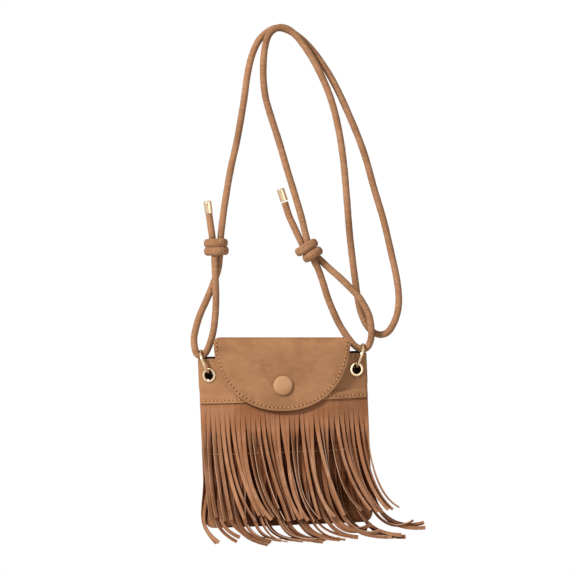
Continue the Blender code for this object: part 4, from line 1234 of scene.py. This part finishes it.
def flap_sheet_mesh(name, depth, inset, start, root):
    """The flap as a sheet: its fold and straight part, then its half-round lower part."""
    columns = spread(60)

    def outer(u, v):
        if v <= 0:
            run = CHAMFER_RUN + v * (CHAMFER_RUN - start)
            return flap_point(u * (flap_half_width(run) - inset), run, -depth)
        a, b = u * math.sqrt(1 - v * v / 2), v * math.sqrt(1 - u * u / 2)
        reach = math.hypot(a, b)
        squared = (abs(a) ** FLAP_ROUNDNESS + b ** FLAP_ROUNDNESS) ** (1 / FLAP_ROUNDNESS)
        k = reach / squared if squared else 1
        return flap_point(a * k * (FLAP_HALF_WIDTH - inset),
                          CHAMFER_RUN + b * k * (FLAP_RUN - inset - CHAMFER_RUN), -depth)

    def place(u, v):
        if v >= -1:
            return outer(u, v)
        up = v + 2
        wide = ROOT_HALF_WIDTH + (CREST_HALF_WIDTH - ROOT_HALF_WIDTH) * smooth_step(up, 0.7, 1)
        if up <= 0:
            return BAG @ wall_point(u * wide, up * ROOT_LAP, 1, ROOT_MIDDLE)
        low, high = BAG @ wall_point(u * wide, 0, 1, ROOT_MIDDLE), flap_point(u * wide, 0, 0)
        rise, reach = (high.z - low.z) * 0.62, (low.y - high.y) * 0.62
        low_pull, high_pull = low + Vector((0, 0, rise)), high + Vector((0, reach, 0))
        s = 1 - up
        return low * s ** 3 + low_pull * 3 * s * s * up + high_pull * 3 * s * up * up + high * up ** 3

    rows = spread(8, -3, -2)[:-1] + spread(14, -2, -1)[:-1] if root else []
    rows += spread(5, -1, 0)[:-1] + spread(34, 0, 1)
    return grid_mesh(name, rows, columns, place)


def flap_outline(inset, first_run):
    """(point, outward) pairs along the flap's edge, a little way in from it."""
    flat = [(-flap_half_width(run), run) for run in spread(6, first_run, CHAMFER_RUN)[:-1]]
    for a in spread(120, 0, math.pi):
        cx, cy = -math.cos(a), math.sin(a)
        k = (abs(cx) ** FLAP_ROUNDNESS + cy ** FLAP_ROUNDNESS) ** (-1 / FLAP_ROUNDNESS)
        flat.append((cx * k * FLAP_HALF_WIDTH, CHAMFER_RUN + cy * k * (FLAP_RUN - CHAMFER_RUN)))
    flat += [(-x, run) for x, run in reversed(flat[:6])]
    pairs = []
    for i, (x, run) in enumerate(flat):
        (xa, ra), (xb, rb) = flat[max(i - 1, 0)], flat[min(i + 1, len(flat) - 1)]
        long = math.hypot(xb - xa, rb - ra)
        x, run = x + (rb - ra) / long * inset, run - (xb - xa) / long * inset
        here, over = flap_point(x, run, SUEDE / 2), flap_point(x, run, SUEDE)
        pairs.append((here, (over - here).normalized()))
    return pairs


def flap_material():
    """Smooth suede with a few shallow, slightly paler scratches left of the cap."""
    material = suede_material("flap_suede", FLAP_LIGHT, FLAP_DARK, 0.50, 0.26)
    tree = material.node_tree
    place = add_node(tree, "ShaderNodeTexCoord").outputs["Object"]
    moved = add_node(tree, "ShaderNodeMapping", Vector=place,
                     Location=tuple(-c for c in SCRATCH_PLACE)).outputs[0]
    slanted = add_node(tree, "ShaderNodeMapping", Vector=moved, Rotation=(0, SCRATCH_SLOPE, 0)).outputs[0]
    scored = add_node(tree, "ShaderNodeTexWave", {"wave_type": "BANDS", "bands_direction": "X"}, **{
        "Vector": slanted, "Scale": 34.0, "Distortion": 3.2, "Detail": 1.0, "Detail Scale": 0.5})
    line = ramp(tree, scored.outputs["Fac"], 0.985, 1.0)
    patch = add_node(tree, "ShaderNodeTexNoise", Vector=place, Scale=70.0, Detail=1.0).outputs["Fac"]
    away = add_node(tree, "ShaderNodeVectorMath", {"operation": "LENGTH"}, i0=moved).outputs["Value"]
    near = less(tree, 1.0, ramp(tree, away, 0.016, 0.026))
    share = times(tree, times(tree, line, ramp(tree, patch, 0.44, 0.54)), 0.45)
    tint_suede(material, times(tree, share, near), SCRATCH_COLOUR)
    return material


flap_suede = flap_material()
flap = link("flap_cover", flap_sheet_mesh("flap_cover", 0, 0, 0, True))
cut_sheet(flap, SUEDE, 0.32 * MM, flap_suede, cut_edge)
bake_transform(flap, "bag", "flap", start=(0, CREST_Y + 7 * MM, CREST_Z), end=(0, CREST_Y - 7 * MM, CREST_Z))
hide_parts("flap", "flap_root")

flap_stitches = link("flap_stitches", stitch_mesh("flap_stitches", flap_outline(FLAP_STITCH_INSET, 3 * MM)))
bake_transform(flap_stitches, "bag", "flap", start=(0, CREST_Y + 7 * MM, CREST_Z), end=(0, CREST_Y - 7 * MM, CREST_Z))

root_line = wall_line(-ROOT_HALF_WIDTH + ROOT_STITCH_INSET, ROOT_HALF_WIDTH - ROOT_STITCH_INSET,
                      -ROOT_LAP + ROOT_STITCH_RISE, lambda x, z: ROOT_MIDDLE, side=1, count=80)
root_stitches = link("flap_root_stitches", stitch_mesh("flap_root_stitches", root_line))
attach(root_stitches, "bag")

flap_lining = link("flap_lining_cloth", flap_sheet_mesh(
    "flap_lining_cloth", SUEDE / 2 + GAP + LINING / 2, 2.5 * MM, 4 * MM, False))
cut_sheet(flap_lining, LINING, 0.12 * MM, lining_cloth)
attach(flap_lining, "flap")
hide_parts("flap_lining")


# Snap. A press stud: a suede-covered cap on the flap's face, its gold socket under the flap and
# the gold stud it presses on, riveted to the band.
CAP_RADIUS = 11.3 * MM
CAP_HEIGHT = 3.4 * MM
CAP_LIGHT = (0.550, 0.300, 0.160, 1)

cap_suede = suede_material("cap_suede", CAP_LIGHT, SUEDE_DARK, 0.35, 0.2)
cap_profile = rounded([(0, CAP_HEIGHT), (0.55 * CAP_RADIUS, CAP_HEIGHT * 0.96),
                       (0.86 * CAP_RADIUS, CAP_HEIGHT * 0.74), (CAP_RADIUS, CAP_HEIGHT * 0.34),
                       (CAP_RADIUS * 0.97, 0), (0, 0)], 1.4 * MM, 5)
cap = link("snap_cap_cover", turned_mesh("snap_cap_cover", cap_profile, 72, False))
cap.data.materials.append(cap_suede)
cap_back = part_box("snap_cap")[1][1]
cap.matrix_world = facing(Vector((SNAP_X, cap_back, SNAP_Z)), (0, -1, 0))
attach(cap, "flap")
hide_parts("snap_cap")

gold_snap = gold_material("gold_snap", 0.2)
for node in ("snap_stud", "snap_socket"):
    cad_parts[node].material_slots[0].material = gold_snap


# Eyelets. Each is a drawn gold tube with a domed front flange, passed through all the layers
# and rolled over a flat washer at the back. Its bore is finished near black, painted shade.
EYELET_HOLE_RADIUS = 5.3 * MM
FLANGE_RADIUS = 8.5 * MM
FLANGE_HEIGHT = 1.5 * MM
LIP_HOLE_RADIUS = 4.2 * MM
WASHER_RADIUS = 7.6 * MM
WASHER_THICKNESS = 0.8 * MM
EYELET_FRONT = SEAM_GAP_HALF + BAND_OUTER + GAP / 2
EYELET_BACK = -(SEAM_GAP_HALF + PANEL_OUTER + GAP / 2)
# Near-black colours of the painted shade in the eyelets' bores
BARREL_DARK = (0.035, 0.022, 0.013, 1)
BARREL_DARKER = (0.015, 0.010, 0.006, 1)

gold_eyelet = gold_material("gold_eyelet", 0.12)
bore_shade = suede_material("eyelet_bore_shade", BARREL_DARK, BARREL_DARKER, 0.3, 0.2)
for side, sign in (("left", -1), ("right", 1)):
    low = EYELET_BACK - WASHER_THICKNESS
    flange = rounded([(EYELET_HOLE_RADIUS, 0), (EYELET_HOLE_RADIUS, EYELET_FRONT + FLANGE_HEIGHT * 0.9),
                      (EYELET_HOLE_RADIUS + 1.3 * MM, EYELET_FRONT + FLANGE_HEIGHT),
                      (FLANGE_RADIUS - 0.5 * MM, EYELET_FRONT + FLANGE_HEIGHT * 0.8),
                      (FLANGE_RADIUS, EYELET_FRONT), (BARREL_RADIUS, EYELET_FRONT), (BARREL_RADIUS, low),
                      (BARREL_RADIUS + 1.4 * MM, low - 0.1 * MM),
                      (BARREL_RADIUS + 1.3 * MM, low - 0.9 * MM), (LIP_HOLE_RADIUS, low - 0.9 * MM),
                      (EYELET_HOLE_RADIUS, low + 0.6 * MM), (EYELET_HOLE_RADIUS, 0)], 0.5 * MM, 5)
    eyelet = link("eyelet_fine_" + side, turned_mesh("eyelet_fine_" + side, flange[:-1], 72, True))
    # The bore behind the flange takes the near-black painted shade
    for face in eyelet.data.polygons:
        in_hole = math.hypot(face.center.x, face.center.y) < EYELET_HOLE_RADIUS + 0.05 * MM
        if in_hole and face.center.z < EYELET_FRONT:
            face.material_index = 1
    bore = BARREL_RADIUS + 0.1 * MM
    flat_ring = rounded([(bore, low + 0.4 * MM), (bore, EYELET_BACK), (WASHER_RADIUS, EYELET_BACK),
                         (WASHER_RADIUS, low), (bore, low), (bore, low + 0.4 * MM)], 0.25 * MM, 3)
    washer = link("eyelet_washer_fine_" + side,
                  turned_mesh("eyelet_washer_fine_" + side, flat_ring[:-1], 48, True))
    for piece, node in ((eyelet, "eyelet_"), (washer, "eyelet_washer_")):
        piece.data.materials.append(gold_eyelet)
        piece.data.materials.append(bore_shade)
        piece.matrix_world = eyelet_seat(sign)
        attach(piece, "bag")
        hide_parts(node + side)
for punch in punches:
    bpy.data.objects.remove(punch)


# Eyelet shade discs. A disc with the lining's cloth finish inside each eyelet, cut round the ring's
# wire: a dark sheet of painted shade, so the eyelet looks black inside.
RING_RADIUS = 13.75 * MM
WIRE_RADIUS = 1.5 * MM
RING_LIFT = 2.0 * MM
RING_LEAN = {"left": 22, "right": 18}
RING_YAW = {"left": 8, "right": 6}
SHADE_DISC_RADIUS = 4.6 * MM
SHADE_DISC_DEPTH = -2.6 * MM


def ring_mesh(name, wire_radius, sides, steps):
    """A round-wire ring about its own Z."""
    wire = [(RING_RADIUS + wire_radius * math.cos(t), wire_radius * math.sin(t))
            for t in (k * 2 * math.pi / sides for k in range(sides))]
    return turned_mesh(name, wire, steps, True)


def ring_place(side, sign):
    """Where a ring hangs: through its eyelet, leaning out and turned a little."""
    lean = math.radians(RING_LEAN[side])
    up = Vector((sign * math.sin(lean), 0, math.cos(lean)))
    axis = Matrix.Rotation(sign * math.radians(RING_YAW[side]), 3, up) @ Vector((0, 1, 0)).cross(up)
    return facing(eyelet_seat(sign).translation + up * (RING_LIFT + RING_RADIUS), axis)


for side, sign in (("left", -1), ("right", 1)):
    name = "eyelet_collar_" + side
    under = SHADE_DISC_DEPTH - LINING
    disc = [(0, SHADE_DISC_DEPTH), (SHADE_DISC_RADIUS, SHADE_DISC_DEPTH), (SHADE_DISC_RADIUS, under), (0, under)]
    shade_disc = link(name, turned_mesh(name, disc, 40, False))
    shade_disc.matrix_world = eyelet_seat(sign)
    shade_disc.data.materials.append(lining_cloth)
    cutter = link("wire_clearance", ring_mesh("wire_clearance", WIRE_RADIUS + FIT_GAP, 16, 72))
    cutter.matrix_world = ring_place(side, sign)
    cut_out(shade_disc, cutter)
    settle(shade_disc)
    bpy.data.objects.remove(cutter)
    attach(shade_disc, "bag")


# Rings. Closed rings of round gold wire, each through its eyelet and round the mouth's corner,
# free to turn there, and pulled up by the strap's loop.
SHOWN_WIRE_RADIUS = WIRE_RADIUS + 0.15 * MM

gold_ring = gold_material("gold_ring", 0.14)
for side, sign in (("left", -1), ("right", 1)):
    name = "ring_fine_" + side
    ring = link(name, ring_mesh(name, SHOWN_WIRE_RADIUS, 20, 120))
    ring.data.materials.append(gold_ring)
    ring.matrix_world = ring_place(side, sign)
    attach(ring, "ring_" + side)
    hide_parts("ring_" + side)


# Studio. A pale floor far below, a soft key lamp from the upper left, a weak fill from the
# right and a white surround.
FLOOR_Z = -0.80
FLOOR_HALF = 1.6
FLOOR_WHITE = (0.82, 0.82, 0.82, 1)
FLOOR_GREY = (0.79, 0.79, 0.79, 1)


def floor_material():
    """Matt white painted board, lifted to white where the camera sees it lit."""
    material, tree, shader = new_material("studio_floor")
    place = add_node(tree, "ShaderNodeTexCoord").outputs["Object"]
    grain = add_node(tree, "ShaderNodeTexNoise", Vector=place, Scale=30.0, Detail=4.0)
    colour = mix_colour(tree, times(tree, grain.outputs["Fac"], 0.5), FLOOR_WHITE, FLOOR_GREY)
    seen = add_node(tree, "ShaderNodeLightPath").outputs["Is Camera Ray"]
    set_sockets(tree, shader, {"Base Color": colour, "Roughness": 0.9, "Emission Color": (1, 1, 1, 1),
                               "Emission Strength": times(tree, seen, 0.3)})
    return material


floor_mesh = bpy.data.meshes.new("studio_floor")
floor_corners = [(x * FLOOR_HALF, y * FLOOR_HALF, FLOOR_Z) for x, y in ((-1, -1), (1, -1), (1, 1), (-1, 1))]
floor_mesh.from_pydata(floor_corners, [], [(0, 1, 2, 3)])
floor = link("studio_floor", floor_mesh)
floor_mesh.materials.append(floor_material())


def add_lamp(name, place, aim, size, power, colour):
    """A square soft lamp turned to a point."""
    data = bpy.data.lights.new(name, "AREA")
    data.size = size
    data.energy = power
    data.color = colour
    lamp = bpy.data.objects.new(name, data)
    bpy.context.scene.collection.objects.link(lamp)
    lamp.location = place
    lamp.rotation_euler = (Vector(aim) - Vector(place)).to_track_quat("-Z", "Y").to_euler()


bag_middle = (0, 0, -0.38)
add_lamp("key_lamp", (-2.1, -2.05, 1.75), bag_middle, size=0.6, power=138, colour=(1.0, 0.99, 0.97))
add_lamp("fill_lamp", (1.0, -1.9, -0.1), bag_middle, size=1.2, power=7, colour=(1.0, 0.99, 0.98))

world = bpy.data.worlds.new("studio_surround")
bpy.context.scene.world = world
world.use_nodes = True
surround = world.node_tree
for node in list(surround.nodes):
    surround.nodes.remove(node)
path_kind = add_node(surround, "ShaderNodeLightPath").outputs
seen = calc(surround, "MAXIMUM", path_kind["Is Camera Ray"], path_kind["Is Glossy Ray"])
seen = calc(surround, "MAXIMUM", seen, path_kind["Is Transmission Ray"])
soft = add_node(surround, "ShaderNodeBackground", Color=(1, 1, 1, 1), Strength=0.25)
white = add_node(surround, "ShaderNodeBackground", Color=(1, 1, 1, 1), Strength=1.0)
either = add_node(surround, "ShaderNodeMixShader", i0=seen, i1=soft.outputs[0], i2=white.outputs[0])
add_node(surround, "ShaderNodeOutputWorld", Surface=either.outputs[0])

bpy.context.scene.view_settings.view_transform = "Standard"
